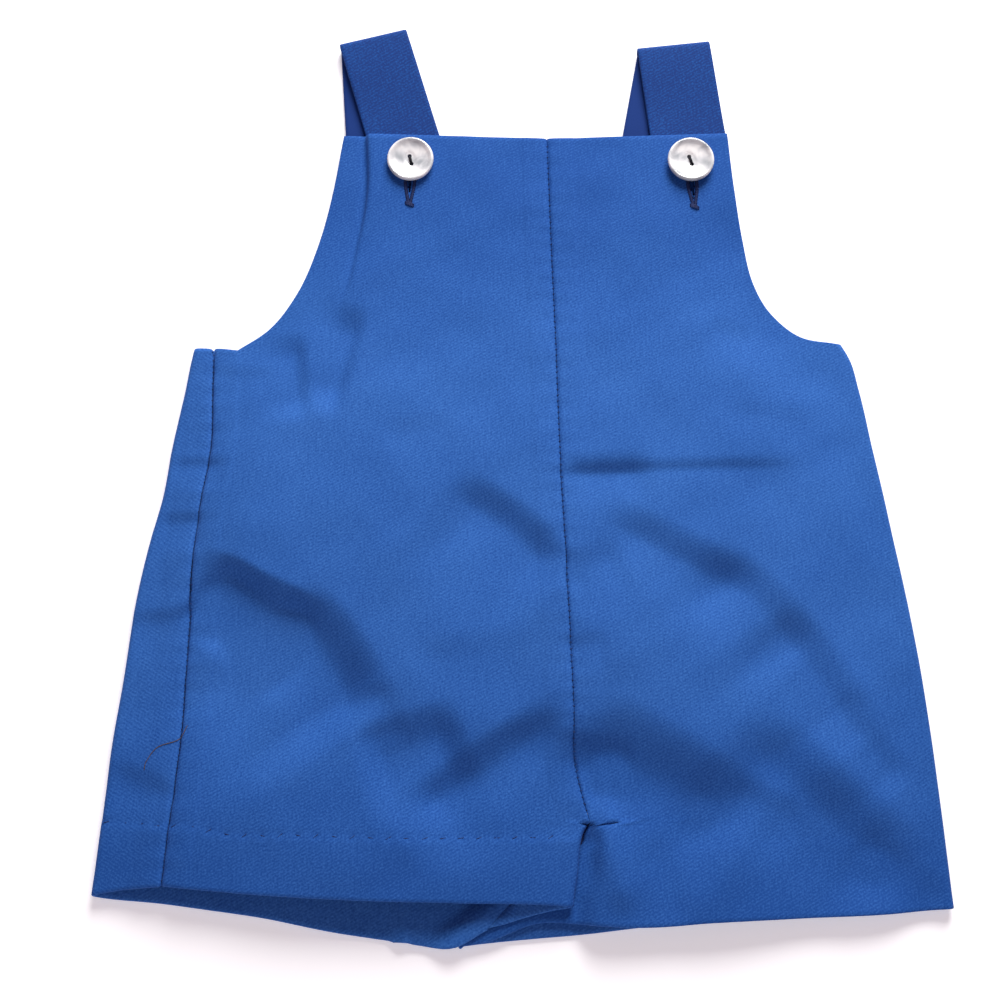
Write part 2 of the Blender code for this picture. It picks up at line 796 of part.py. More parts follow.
for old in list(bpy.data.objects):
    bpy.data.objects.remove(old)

twill = material("blue twill", (0.040, 0.120, 0.430), 0.85)
strap_twill = material("blue twill strap", (0.036, 0.108, 0.390), 0.85)
pearl = material("pearl button", (0.78, 0.79, 0.80), 0.25)

make_panels(twill)
make_straps(strap_twill)
make_buttons(pearl)
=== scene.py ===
import math

import bpy
import numpy as np
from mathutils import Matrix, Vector


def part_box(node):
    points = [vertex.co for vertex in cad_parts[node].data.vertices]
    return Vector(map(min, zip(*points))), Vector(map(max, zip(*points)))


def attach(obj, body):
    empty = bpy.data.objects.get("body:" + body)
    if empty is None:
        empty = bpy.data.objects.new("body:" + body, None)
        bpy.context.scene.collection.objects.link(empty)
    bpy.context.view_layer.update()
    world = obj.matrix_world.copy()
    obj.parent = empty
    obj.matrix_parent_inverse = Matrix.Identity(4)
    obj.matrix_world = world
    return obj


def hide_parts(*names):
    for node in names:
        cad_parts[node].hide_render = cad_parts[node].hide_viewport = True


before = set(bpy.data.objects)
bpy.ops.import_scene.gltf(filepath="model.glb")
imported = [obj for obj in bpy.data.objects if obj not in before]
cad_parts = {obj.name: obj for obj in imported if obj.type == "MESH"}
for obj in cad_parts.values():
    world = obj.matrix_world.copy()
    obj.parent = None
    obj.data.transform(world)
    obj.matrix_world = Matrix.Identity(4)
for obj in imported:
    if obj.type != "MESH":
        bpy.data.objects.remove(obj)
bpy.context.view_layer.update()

# Fronts.
# The wearer's right and left front, each cut in one from the bib to the leg's hem, of mid-blue twill,
# taken as a cotton blend. They are joined down the centre front, and lie flat over the backs.
MM = 0.001
MIDDLE_Y = -0.64
CLOTH = 1.2
SEAM_GAP = 0.1
SIDE_SEAM_GAP = 0.3
SIDE_FOLD_RADIUS = 2.0
LEG_FOLD_RADIUS = 1.6
LOWEST_FRONT = 2 * CLOTH + 0.5
SEAM_PAST_FOLD = 4.0
INSEAM_WRAP = 30.0
LEG_LENGTH = 35.0
CROTCH_X = 23.1
CROTCH_Y = -130.0
CROTCH_LINE_RISE = 0.04
BACK_BIB_TOP = 119.0
STRAP_FRONT_TOP_Z = 3.5
STRAP_WIDTH = 26.5
STRAP_END_Y = 102.0
STRAP_SHOULDER = 7.0
STRAP_SHARP_SHOULDER = 2.6
STRAP_END_SHOULDER = 24.0
BIB_OVER_STRAP = STRAP_FRONT_TOP_Z + CLOTH + 0.45

# Levels where the right leg lies over the left leg.
CROTCH_TOP = 6.2
LOWER_LEG_TOP = 3.2
UPPER_LEG_BOTTOM = 3.6
UPPER_LEG_TOP = 7.2
CLIMB_LENGTH = 7.0
CLIMB_WIDTH = 12.0
CLIMB_START = 13.0
CROTCH_DIP_RADIUS = 20.0
LEFT_LEG_DIP = {"across": 5.5, "up": 15.0}
SWELL_SHOULDER = 38.0
CREASE_SHOULDER = 9.0
CREASE_START = 0.35
WAVES_ON_STRAP = 0.3
HEM_LIFT = {"height": 2.8, "x": -62.0, "width": 48.0, "from_y": -105.0, "length": 45.0}

# The right back's hem lies loose under the front, in low waves and one sharper fold.
BACK_HEM_WAVE = {"height": 1.1, "length": 36.0, "from_y": -144.0, "fade": 10.0, "to_x": -26.0}
BACK_HEM_FOLD = {"height": 1.8, "width": 2.6, "x": -41.0}

# Steps of the cloth's grid, and the bands next to seams where they are finer.
SEAM_BAND = 9.0
SEAM_BAND_STEPS = 12
EDGE_BAND = 6.0
EDGE_BAND_STEPS = 8
WRAP_STEPS = 5
SIDE_FOLD_STEPS = 8
SIDE_UNDER_STEPS = 4
FRONT_STEPS = 112
LEDGE_STEPS = 6
LEG_ROWS = 28
BODY_ROWS = 128
BIB_ROWS = 62
ROW_PASSES = 6
UNUSED_STEP = 0.5

# Right underarm: the top edge runs level from the side to the armhole's curve, and dips where it starts.
FRONT_LEDGE = 8.8
BACK_LEDGE = 13.0
UNDERARM_DIP_X = 103.0
UNDERARM_DIP_WIDTH = 6.0


def table(names, *rows):
    """Rows of numbers as columns that are looked up by name; the first column is the position."""
    return {name: np.array(values, float) for name, values in zip(names.split(), zip(*rows))}


SIDES = table(
    "y right_fold left_fold side_seam",
    (-175, -149.1, 148.2, -124.0),
    (-154, -147.0, 146.4, -122.4),
    (-130, -144.9, 144.8, -120.7),
    (-100, -142.5, 142.6, -118.3),
    (-80, -140.0, 140.7, -118.2),
    (-56, -137.6, 137.6, -117.4),
    (-30, -133.0, 133.4, -116.6),
    (-15, -129.4, 131.0, -114.9),
    (2, -127.2, 128.0, -112.7),
    (25, -123.2, 124.1, -113.0),
    (37, -121.2, 121.2, -113.2),
    (43, -120.3, 118.0, -113.3),
)

CENTRE = table(
    "y front_seam back_seam",
    (-130, 23.1, 23.1),
    (-122, 20.9, 21.5),
    (-112, 18.7, 19.5),
    (-90, 17.8, 17.5),
    (-45, 16.0, 13.5),
    (0, 13.9, 10.0),
    (41, 12.8, 7.0),
    (80, 11.5, 4.0),
    (124, 10.1, 1.0),
)

LEG_EDGES = table(
    "y right_leg left_leg",
    (-173, 16.6, -23.8),
    (-165, 17.1, -16.0),
    (-157.5, 17.7, -7.0),
    (-147, 18.9, 6.0),
    (-140, 19.4, 15.4),
    (-137, 19.8, 20.1),
    (-133.5, 20.8, 21.2),
    (-130, 22.9, 23.3),
)

# Height of the front over its edges, and the x from which it rises towards the middle.
SWELL = table(
    "y edge_z height from_right from_left",
    (-175, 4.0, 4.2, -148, 147),
    (-120, 4.0, 6.0, -144, 143),
    (-60, 4.0, 6.6, -138, 137),
    (0, 4.0, 5.0, -127, 127),
    (25, 3.9, 3.6, -119, 119),
    (45, 3.7, 2.6, -104, 106),
    (60, 3.4, 2.1, -92, 96),
    (90, 3.2, 1.9, -78, 86),
    (126, 3.2, 1.8, -68, 82),
)

RIGHT_HEM = table(
    "s front_y",
    (-124, -150.3),
    (-92, -152.9),
    (-58, -154.8),
    (-24, -155.8),
    (18, -157.5),
    (24, -158.3),
    (52, -166.0),
)

LEFT_HEM = table(
    "s front_y back_y",
    (-24, -171.0, -171.0),
    (-12, -168.9, -169.6),
    (5.5, -162.9, -168.0),
    (20, -163.2, -166.8),
    (41, -163.9, -164.4),
    (64, -162.4, -162.2),
    (94, -161.0, -160.6),
    (128, -159.4, -158.9),
    (147, -158.1, -157.8),
    (156, -157.9, -157.6),
)

RIGHT_ARMHOLE = table(
    "share front_x front_y back_x back_y",
    (0.00, -104.4, 39.4, -106.0, 39.2),
    (0.17, -92.5, 48.0, -93.0, 45.5),
    (0.36, -83.0, 61.5, -82.0, 59.0),
    (0.58, -75.8, 80.0, -74.0, 78.0),
    (0.80, -70.6, 102.0, -69.0, 99.0),
    (1.00, -67.0, 125.2, -65.6, 119.0),
)

LEFT_ARMHOLE = table(
    "share front_x front_y back_x back_y",
    (0.00, 116.3, 42.0, 113.5, 40.4),
    (0.12, 104.0, 44.2, 104.0, 42.0),
    (0.27, 93.0, 53.2, 92.5, 51.0),
    (0.44, 86.3, 66.0, 84.5, 64.0),
    (0.63, 82.9, 84.0, 77.0, 82.0),
    (0.82, 80.4, 104.0, 70.5, 101.0),
    (1.00, 78.6, 125.4, 66.6, 119.0),
)

# Creases of the front: middle of the shaded slope, length, angle from x, bow along the length, width of
# the slope, width over which the cloth rises again, depth, and where the slope is steepest: 1 at its
# crest, -1 at its bottom. A negative depth is a ridge.
CREASES = table(
    "x y length angle bow fall rise depth steep",
    (-93, -51, 44, -26, 0.5, 14.0, 44.0, 6.6, 0.6),
    (-110, -51, 28, 50, 0.0, 11.0, 18.0, 3.2, 0.4),
    (-65.5, -72, 46, -54, 3.0, 20.0, 34.0, 8.2, 0.1),
    (-128, -59, 26, 4, 0.0, 6.0, 9.0, 1.2, 0.3),
    (-40, -98.5, 34, 16, 0.0, 14.0, 18.0, 4.4, 0.1),
    (-44, -92, 20, -70, 0.0, 9.0, 10.0, 1.2, 0.0),
    (-16, -108.5, 60, 33, 0.0, 13.0, 18.0, 5.0, 0.0),
    (-27, -115.5, 24, 40, 0.0, 8.0, 8.0, 1.1, -0.3),
    (1.5, -97.6, 20, 21, 0.0, 7.0, 9.0, 0.8, 0.0),
    (50, -109.5, 60, -30, 1.0, 24.0, 20.0, 7.4, 0.1),
    (27, -104.0, 24, -12, 0.0, 11.0, 12.0, 2.0, 0.0),
    (84, -121, 26, -24, 0.0, 10.0, 12.0, 1.2, 0.0),
    (58, -33.5, 56, -28, 0.0, 12.0, 20.0, 3.0, -0.3),
    (86, -52, 44, -48, 1.5, 13.0, 20.0, 3.0, -0.1),
    (108, -78, 46, -58, 0.0, 14.0, 28.0, 4.0, 0.0),
    (114, -40, 92, -73, 0.0, 26.0, 24.0, 2.4, 0.0),
    (124, -104, 28, -50, 0.0, 10.0, 12.0, 1.6, 0.0),
    (108, -120, 68, -43, 0.0, 20.0, 32.0, 5.6, 0.0),
    (132, -146, 36, -35, 0.0, 14.0, 10.0, 2.0, 0.0),
    (54, -3.9, 84, 1.5, 0.0, 4.6, 20.0, 1.3, -0.8),
    (30, -3.2, 30, 4, 0.0, 8.0, 14.0, 1.8, -0.7),
    (23, -38, 22, 22, 0.0, 11.0, 12.0, 1.3, 0.0),
    (21.5, -66.6, 15, 5, 0.0, 5.5, 8.0, 0.6, 0.0),
    (-3.3, -26, 46, -38, 2.7, 13.0, 28.0, 3.8, 0.0),
    (-19, -69, 38, 8, 0.0, 11.0, 12.0, 0.9, 0.0),
    (-38, 11, 24, 10, 0.0, 9.0, 9.0, 0.5, 0.0),
    (-62.5, 34.3, 38, -104, 0.0, 6.5, 10.0, 2.6, 0.0),
    (-79.5, 29, 30, -84, 0.0, 6.5, 10.0, 2.0, 0.0),
    (-101, 31, 22, 0, 0.0, 6.0, 8.0, 0.5, 0.0),
    (78, 48, 18, -16, 0.0, 8.0, 9.0, 0.5, 0.0),
    (90, 16, 30, -3, 0.0, 9.0, 10.0, 0.6, 0.0),
    (-131, -115, 24, -13, 0.0, 8.0, 8.0, 1.4, 0.3),
    (52, -149, 28, -70, 0.0, 8.0, 7.0, 0.9, 0.0),
    (-117, -2.6, 20, 0, 0.0, 5.0, 6.0, 0.9, 0.2),
    (-122, -23.5, 16, 0, 0.0, 5.0, 6.0, 0.8, 0.2),
    (0, -131, 34, 3, 0.0, 9.0, 8.0, 0.5, 0.0),
    (25.5, -134, 34, -94, 0.0, 5.0, 2.2, 3.0, 0.0),
    (31, -142, 34, -78, 0.0, 5.0, 5.0, -1.8, 0.0),
    (-96, -84, 46, -22, 0.0, 9.0, 9.0, -0.9, 0.0),
    (-30, -128, 46, 28, 0.0, 8.0, 8.0, -0.8, 0.0),
    (58, -136, 44, -30, 0.0, 11.0, 11.0, -0.9, 0.0),
)
CREASE_REACH = 0.62
CREASE_FADE = 0.36

# Slow unevenness all over: the waves' lengths, their directions and starts in degrees, and heights.
WAVES = table(
    "length direction start height",
    (61, 20, 10, 0.16),
    (47, 75, 80, 0.14),
    (38, -35, 200, 0.12),
    (29, 110, 40, 0.09),
    (23, 50, 300, 0.07),
    (17, -70, 150, 0.045),
    (13, 5, 260, 0.03),
)
WAVE_BEND = 4


def through(rows, column, at):
    """A smooth curve through one column of a table."""
    known = rows[next(iter(rows))]
    values = rows[column]
    at = np.clip(at, known[0], known[-1])
    slopes = np.gradient(values, known)
    i = np.clip(np.searchsorted(known, at) - 1, 0, len(known) - 2)
    span = known[i + 1] - known[i]
    t = (at - known[i]) / span
    start = (1 + 2 * t) * (1 - t) ** 2 * values[i] + t * (1 - t) ** 2 * span * slopes[i]
    stop = t * t * (3 - 2 * t) * values[i + 1] - t * t * (1 - t) * span * slopes[i + 1]
    return start + stop


def ease(t):
    t = np.clip(t, 0.0, 1.0)
    return t * t * (3 - 2 * t)


def mix(a, b, share):
    return a + (b - a) * share


def at_least(low, z, softness=0.35):
    """z where it is well above low, and a soft turn to low where it isn't."""
    return low + softness * np.logaddexp(0, (z - low) / softness)


def crease_shape(across, crease):
    """Share of a crease's depth: none above its crest, all at its bottom, and slowly less below."""
    fall, rise = crease["fall"], crease["rise"]
    if crease["depth"] < 0:
        return np.exp(-((across / np.where(across > 0, fall, rise)) ** 2))
    down = np.clip(0.5 - across / fall, 0, 1)
    sharp = 1 - (1 - down) ** 2 if crease["steep"] > 0 else down**2
    shape = mix(ease(down), sharp, abs(crease["steep"]))
    past = np.maximum(-across - fall / 2, 0) / rise
    return shape * np.exp(-(past ** (2 + 0.6 * min(crease["steep"], 0))))


def crease_depth(x, y):
    """Sum of the creases, each fading towards its ends."""
    total = np.zeros(np.broadcast(x, y).shape)
    for i in range(len(CREASES["x"])):
        crease = {column: values[i] for column, values in CREASES.items()}
        turn = math.radians(crease["angle"])
        along = (x - crease["x"]) * math.cos(turn) + (y - crease["y"]) * math.sin(turn)
        across = (y - crease["y"]) * math.cos(turn) - (x - crease["x"]) * math.sin(turn)
        share = along / crease["length"]
        across = across - crease["bow"] * (1 - 4 * share**2)
        fade = ease((CREASE_REACH - np.abs(share)) / CREASE_FADE)
        total = total + crease["depth"] * fade * crease_shape(across, crease)
    return total


def unevenness(x, y):
    total = np.zeros(np.broadcast(x, y).shape)
    for i in range(len(WAVES["length"])):
        turn = math.radians(WAVES["direction"][i])
        along = x * math.cos(turn) + y * math.sin(turn)
        bent = along + WAVE_BEND * np.sin((x - y) / WAVES["length"][i])
        phase = 2 * math.pi * bent / WAVES["length"][i] + math.radians(WAVES["start"][i])
        total = total + WAVES["height"][i] * np.sin(phase)
    return total


# The straps' middles under the bib, as x at the bib's top and at the strap's end, and the line where
# the right strap's edge, and below it the armhole's facing, lifts the bib.
STRAP_MIDDLES = {"strap_right": (-44.95, -37.95), "strap_left": (64.1, 65.95)}
BIB_TOP_Y = 125.7
CENTRE_CLOSES = {"below_top": 9.0, "fade": 8, "least": 0.01}

FACING = table(
    "y x",
    (40, -79.0),
    (45, -71.2),
    (58, -65.6),
    (80, -61.0),
    (102, -57.7),
    (126, -58.5),
)


def over_straps(x, y):
    """1 where the front bib lies on a strap, 0 away from it."""
    cover = np.zeros(np.broadcast(x, y).shape)
    for name, (upper, lower) in STRAP_MIDDLES.items():
        middle = mix(lower, upper, (y - STRAP_END_Y) / (BIB_TOP_Y - STRAP_END_Y))
        in_left = ease((x - middle + STRAP_WIDTH / 2) / STRAP_SHOULDER + 1)
        if name == "strap_right":
            in_left = ease((x - through(FACING, "x", y)) / STRAP_SHARP_SHOULDER + 0.5)
        in_right = ease((middle + STRAP_WIDTH / 2 - x) / STRAP_SHOULDER + 1)
        cover = np.maximum(cover, in_left * in_right)
    return cover * ease((y - STRAP_END_Y + STRAP_END_SHOULDER) / STRAP_END_SHOULDER)


def past_crotch(y):
    return ease((CROTCH_Y - y) / CLIMB_LENGTH)


def inner_edge(column, y):
    """The centre front seam, and below the crotch a leg's inner edge."""
    seam = through(CENTRE, "front_seam", y)
    return np.where(y >= CROTCH_Y, seam, through(LEG_EDGES, column, y))


def open_front(x, y):
    """Height of the front's outer face before the crotch pulls it down."""
    from_right = x - through(SWELL, "from_right", y)
    from_left = through(SWELL, "from_left", y) - x
    rise = ease(from_right / SWELL_SHOULDER) * ease(from_left / SWELL_SHOULDER)
    creased = ease(from_right / CREASE_SHOULDER + CREASE_START)
    creased = creased * ease(from_left / CREASE_SHOULDER + CREASE_START)
    z = through(SWELL, "edge_z", y) + through(SWELL, "height", y) * rise
    lift = HEM_LIFT["height"] * np.exp(-(((x - HEM_LIFT["x"]) / HEM_LIFT["width"]) ** 2))
    lift = lift * ease((HEM_LIFT["from_y"] - y) / HEM_LIFT["length"])
    z = z + lift + (unevenness(x, y) - crease_depth(x, y)) * creased
    return mix(z, BIB_OVER_STRAP + WAVES_ON_STRAP * unevenness(x, y), over_straps(x, y))


def right_front_z(x, y):
    edge = inner_edge("right_leg", y)
    low = mix(CROTCH_TOP, UPPER_LEG_TOP, past_crotch(y))
    reach = np.minimum(x - edge, 0) ** 2 + np.maximum(y - CROTCH_Y, 0) ** 2
    pull = np.exp(-reach / CROTCH_DIP_RADIUS**2)
    return at_least(LOWEST_FRONT, mix(open_front(x, y), low, pull))


def left_front_z(x, y):
    edge = inner_edge("right_leg", y)
    low = mix(CROTCH_TOP, LOWER_LEG_TOP, past_crotch(y))
    aside = np.maximum(x - edge, 0) / LEFT_LEG_DIP["across"]
    above = np.maximum(y - CROTCH_Y, 0) / LEFT_LEG_DIP["up"]
    pull = np.exp(-(aside**2) - above**2)
    return at_least(LOWEST_FRONT, mix(open_front(x, y), low, pull))


def right_back_z(x, y):
    """Underside of the right leg's back: on the surface, then up over the left leg."""
    lower_leg = through(LEG_EDGES, "left_leg", y)
    climb = ease((x - lower_leg + CLIMB_START) / CLIMB_WIDTH)
    loose = ease((BACK_HEM_WAVE["from_y"] - y) / BACK_HEM_WAVE["fade"])
    loose = loose * ease((BACK_HEM_WAVE["to_x"] - x) / BACK_HEM_WAVE["fade"])
    wave = BACK_HEM_WAVE["height"] * (0.5 + 0.5 * np.sin(2 * math.pi * x / BACK_HEM_WAVE["length"] + 1))
    fold = BACK_HEM_FOLD["height"] * np.exp(-(((x - BACK_HEM_FOLD["x"]) / BACK_HEM_FOLD["width"]) ** 2))
    return UPPER_LEG_BOTTOM * climb * past_crotch(y) + loose * (wave + fold)


def left_back_z(x, y):
    return np.zeros(np.broadcast(x, y).shape)


def fold_over(s, y, near, far, edge, radius, side):
    """Places the cloth coordinate s: flat on its own layer, round the fold, then on the other layer.

    side is 1 for a fold on the +x side and -1 on the -x side. near and far give the layers' heights.
    """
    start = edge - side * radius
    past = side * (s - start)
    turn = np.clip(past / radius, 0, math.pi)
    x = np.where(past <= 0, s, start + side * radius * np.sin(turn))
    x = np.where(past > math.pi * radius, start - side * (past - math.pi * radius), x)
    bend_near = near(start, y)
    bend_far = far(start, y)
    z = mix(bend_near, bend_far, (1 - np.cos(turn)) / 2)
    z = np.where(past <= 0, near(s, y), z)
    z = np.where(past > math.pi * radius, far(x, y), z)
    return x, z


def inseam_wrap(y):
    """How far the right leg's front runs past the start of its inner fold, to the inseam."""
    quarter = LEG_FOLD_RADIUS * math.pi / 2
    return quarter + INSEAM_WRAP * np.clip((CROTCH_Y - y) / LEG_LENGTH, 0, 1)


def evenly(start, stop, steps):
    """Places from start to stop, without stop."""
    return np.linspace(start, stop, steps, endpoint=False)


def finer_first(start, stop, steps):
    """Places from start to stop, without stop, closer together at the start."""
    return start + (stop - start) * (np.arange(steps) / steps) ** 1.5


def finer_last(start, stop, steps):
    """Places from start to stop, with stop, closer together at the stop."""
    return stop + (start - stop) * (1 - np.arange(steps + 1) / steps) ** 1.5


def centre_gap(y):
    """Gap between the fronts, which closes towards the bib's top."""
    open_share = ease((BIB_TOP_Y - CENTRE_CLOSES["below_top"] - y) / CENTRE_CLOSES["fade"])
    return SEAM_GAP * open_share + CENTRE_CLOSES["least"]


def front_right_columns(y_in, y_out, armhole_x=None):
    if y_in < CROTCH_Y:
        fold = through(LEG_EDGES, "right_leg", y_in) - LEG_FOLD_RADIUS
        wrap = inseam_wrap(y_in)
        arc = min(wrap * 2 / 3, math.pi * LEG_FOLD_RADIUS)
        inner = [
            evenly(fold + wrap, fold + arc, WRAP_STEPS),
            evenly(fold + arc, fold, SEAM_BAND_STEPS - WRAP_STEPS),
        ]
    else:
        seam = through(CENTRE, "front_seam", y_in) - centre_gap(y_in) / 2
        fold = seam - SEAM_BAND
        inner = [finer_first(seam, fold, SEAM_BAND_STEPS)]
    side = through(SIDES, "side_seam", y_out) + SIDE_SEAM_GAP / 2
    ledge = side + FRONT_LEDGE
    if armhole_x is not None:
        ledge = armhole_x
        side = ledge - UNUSED_STEP
    band = ledge + EDGE_BAND
    return np.concatenate([
        *inner,
        evenly(fold, band, FRONT_STEPS),
        finer_last(band, ledge, EDGE_BAND_STEPS)[:-1],
        finer_last(ledge, side, LEDGE_STEPS),
    ])


def front_left_columns(y_in, y_out, armhole_x=None):
    if y_in < CROTCH_Y:
        fold = through(LEG_EDGES, "left_leg", y_in) + LEG_FOLD_RADIUS
        seam = fold - LEG_FOLD_RADIUS * math.pi / 2 + SEAM_GAP / 2
        inner = evenly(seam, fold, SEAM_BAND_STEPS)
    else:
        seam = through(CENTRE, "front_seam", y_in) + centre_gap(y_in) / 2
        fold = seam + SEAM_BAND
        inner = finer_first(seam, fold, SEAM_BAND_STEPS)
    side = through(SIDES, "left_fold", y_out) - SIDE_FOLD_RADIUS
    if armhole_x is not None:
        side = armhole_x
    band = side - EDGE_BAND
    arc = side + math.pi * SIDE_FOLD_RADIUS
    under = arc + SEAM_PAST_FOLD - SEAM_GAP / 2
    return np.concatenate([
        inner,
        evenly(fold, band, FRONT_STEPS),
        finer_last(band, side, EDGE_BAND_STEPS),
        evenly(side, arc, SIDE_FOLD_STEPS)[1:],
        np.linspace(arc, under, SIDE_UNDER_STEPS),
    ])


LEFT_FRONT_FOLDED = SIDE_FOLD_STEPS - 1 + SIDE_UNDER_STEPS


def row_between(lower, upper, share, columns):
    """A row between two lines of the cloth, which are y as functions of the cloth coordinate."""
    y_in = y_out = CROTCH_Y
    for _ in range(ROW_PASSES):
        s = columns(y_in, y_out)
        y = mix(lower(s), upper(s), share)
        y_in = y[0]
        y_out = y[-1]
    return s, y


def crotch_line(s):
    return CROTCH_Y + CROTCH_LINE_RISE * np.abs(s - CROTCH_X)


def panel_grid(piece):
    """Points of a panel's outer face and its cloth coordinate, row by row from the hem to the bib's top."""
    columns = piece["columns"]
    hem_rows, hem_column = piece["hem"]
    armhole_rows, layer = piece["armhole"]

    def hem(s):
        return through(hem_rows, hem_column, s)

    def underarm(s):
        dip = piece["underarm_dip"] * np.exp(-(((np.abs(s) - UNDERARM_DIP_X) / UNDERARM_DIP_WIDTH) ** 2))
        return piece["underarm_y"] + piece["underarm_rise"] * np.abs(s - CROTCH_X) - dip

    stretches = (
        (hem, crotch_line, np.linspace(0, 1, LEG_ROWS + 1)[:-1]),
        (crotch_line, underarm, np.linspace(0, 1, BODY_ROWS + 1)),
    )
    grid = []
    cloth = []
    for lower, upper, shares in stretches:
        for share in shares:
            s, y = row_between(lower, upper, share, columns)
            x, z = piece["place"](s, y)
            grid.append(np.stack([x, y, z], axis=-1))
            cloth.append(s)
    for share in np.linspace(0, 1, BIB_ROWS + 1)[1:]:
        y_in = mix(underarm(CROTCH_X), piece["bib_top"], share)
        x_out = through(armhole_rows, layer + "_x", share)
        y_out = through(armhole_rows, layer + "_y", share)
        s = columns(y_in, y_out, x_out)
        across = np.clip((s - s[0]) / (x_out - s[0]), 0, 1)
        y = underarm(s) + mix(y_in - underarm(s[0]), y_out - underarm(x_out), across)
        grid.append(np.stack([s, y, piece["near"](s, y)], axis=-1))
        cloth.append(s)
    return np.array(grid), np.array(cloth)


def place_front_right(s, y):
    if y[0] >= CROTCH_Y:
        return s, right_front_z(s, y)
    edge = through(LEG_EDGES, "right_leg", y[0])
    return fold_over(s, y, right_front_z, right_back_z, edge, LEG_FOLD_RADIUS, 1)


def place_front_left(s, y):
    side = through(SIDES, "left_fold", y[-1])
    x, z = fold_over(s, y, left_front_z, left_back_z, side, SIDE_FOLD_RADIUS, 1)
    if y[0] < CROTCH_Y:
        edge = through(LEG_EDGES, "left_leg", y[0])
        inner = s < edge + 2 * LEG_FOLD_RADIUS
        leg_x, leg_z = fold_over(s, y, left_front_z, left_back_z, edge, LEG_FOLD_RADIUS, -1)
        x = np.where(inner, leg_x, x)
        z = np.where(inner, leg_z, z)
    return x, z


# Small relief over the panels: seams that dip between their pressed allowances, the hem turned up
# inside with its blind stitches, and the turned-in edge of the right armhole.
SEAM_DIP = 0.7
SEAM_DIP_WIDTH = 0.6
SEAM_ROLL = 0.3
SEAM_ROLL_WIDTH = 2.4
ALLOWANCE = 9.5
ALLOWANCE_HEIGHT = 0.22
ALLOWANCE_EDGE = 1.6
RELIEF_FADE = 9
UNDERARM_END_Y = 43.5
FACING_STEP = {"height": 0.8, "width": 1.8, "reach": 24.0, "from_y": 48.0, "fade": 22.0}
FACING_PRESSED = {"depth": 0.4, "at": 0.4}
PUCKER_SPACING = 7.3
PUCKER_HEIGHT = 0.13
PUCKER_REACH = 4.5
HEM_STITCH_HEIGHT = 0.16
HEM_EDGE = 1.4
LEFT_HEM_RELIEF = {"depth": 25, "edge": 3, "height": 0.5, "dimple": 0.2}
DIMPLES_FROM_X = -146
DIMPLE_SPACING = 6.1
DIMPLE_RADIUS = 0.9
DIMPLE_DEPTH = 0.6

RIGHT_HEM_STITCHES = table(
    "x y",
    (-146, -129.6),
    (-133.6, -130.3),
    (-123.3, -131.0),
    (-113.1, -131.0),
    (-102.8, -133.3),
    (-75.6, -134.0),
    (-41.6, -135.0),
    (-14.5, -135.0),
    (17, -134.6),
)


def seam_relief(away, y):
    """Height near a seam: a narrow dip, a soft roll into it, the allowances' shelf and puckers."""
    dip = SEAM_DIP * np.exp(-((away / SEAM_DIP_WIDTH) ** 2))
    roll = SEAM_ROLL * np.exp(-((away / SEAM_ROLL_WIDTH) ** 2))
    shelf = ALLOWANCE_HEIGHT * ease((ALLOWANCE + ALLOWANCE_EDGE / 2 - away) / ALLOWANCE_EDGE)
    pucker = PUCKER_HEIGHT * np.sin(2 * math.pi * y / PUCKER_SPACING + 1.7 * np.sin(y / 13))
    return shelf + pucker * np.exp(-away / PUCKER_REACH) - dip - roll


def dimples(x, y, stitched):
    """1 at the middle of each dimple that a blind stitch pulls into the hem, 0 away from it."""
    apart = (x - DIMPLES_FROM_X) % DIMPLE_SPACING - DIMPLE_SPACING / 2
    return np.exp(-(apart**2 + (y - stitched) ** 2) / DIMPLE_RADIUS**2)


def right_relief(x, y):
    above_crotch = ease((y - CROTCH_Y) / RELIEF_FADE + 0.2)
    total = seam_relief(np.abs(x - through(CENTRE, "front_seam", y)), y) * above_crotch
    below_underarm = ease((UNDERARM_END_Y - y) / 2)
    total = total + seam_relief(np.abs(x - through(SIDES, "side_seam", y)), y + 3) * below_underarm
    stitched = through(RIGHT_HEM_STITCHES, "y", x)
    total = total + HEM_STITCH_HEIGHT * ease((stitched - y) / HEM_EDGE + 0.5)
    dimple = dimples(x, y, stitched)
    facing = x - through(FACING, "x", y)
    step = FACING_STEP["height"] * ease(facing / FACING_STEP["width"] + 0.5)
    step = step * np.exp(-((np.maximum(facing, 0) / FACING_STEP["reach"]) ** 2))
    beside = facing / FACING_STEP["width"] + FACING_PRESSED["at"]
    step = step - FACING_PRESSED["depth"] * np.exp(-(beside**2))
    step = step * ease((y - FACING_STEP["from_y"]) / FACING_STEP["fade"])
    return total - DIMPLE_DEPTH * dimple + step


def left_relief(x, y):
    above_crotch = ease((y - CROTCH_Y) / RELIEF_FADE + 0.2)
    total = seam_relief(np.abs(x - through(CENTRE, "front_seam", y)), y + 1.5) * above_crotch
    stitched = through(LEFT_HEM, "front_y", x) + LEFT_HEM_RELIEF["depth"]
    dimple = dimples(x, y, stitched)
    hem = LEFT_HEM_RELIEF["height"] * HEM_STITCH_HEIGHT
    hem = hem * ease((stitched - y) / LEFT_HEM_RELIEF["edge"] + 0.5)
    return total + hem - LEFT_HEM_RELIEF["dimple"] * DIMPLE_DEPTH * dimple


def outer_normals(grid, outward):
    """Unit normals of a grid, turned so that most of them point up or down as outward says."""
    along = np.gradient(grid, axis=0, edge_order=2)
    across = np.gradient(grid, axis=1, edge_order=2)
    normals = np.cross(across, along)
    normals /= np.linalg.norm(normals, axis=-1, keepdims=True)
    if np.median(normals[..., 2]) * outward < 0:
        return -normals, True
    return normals, False


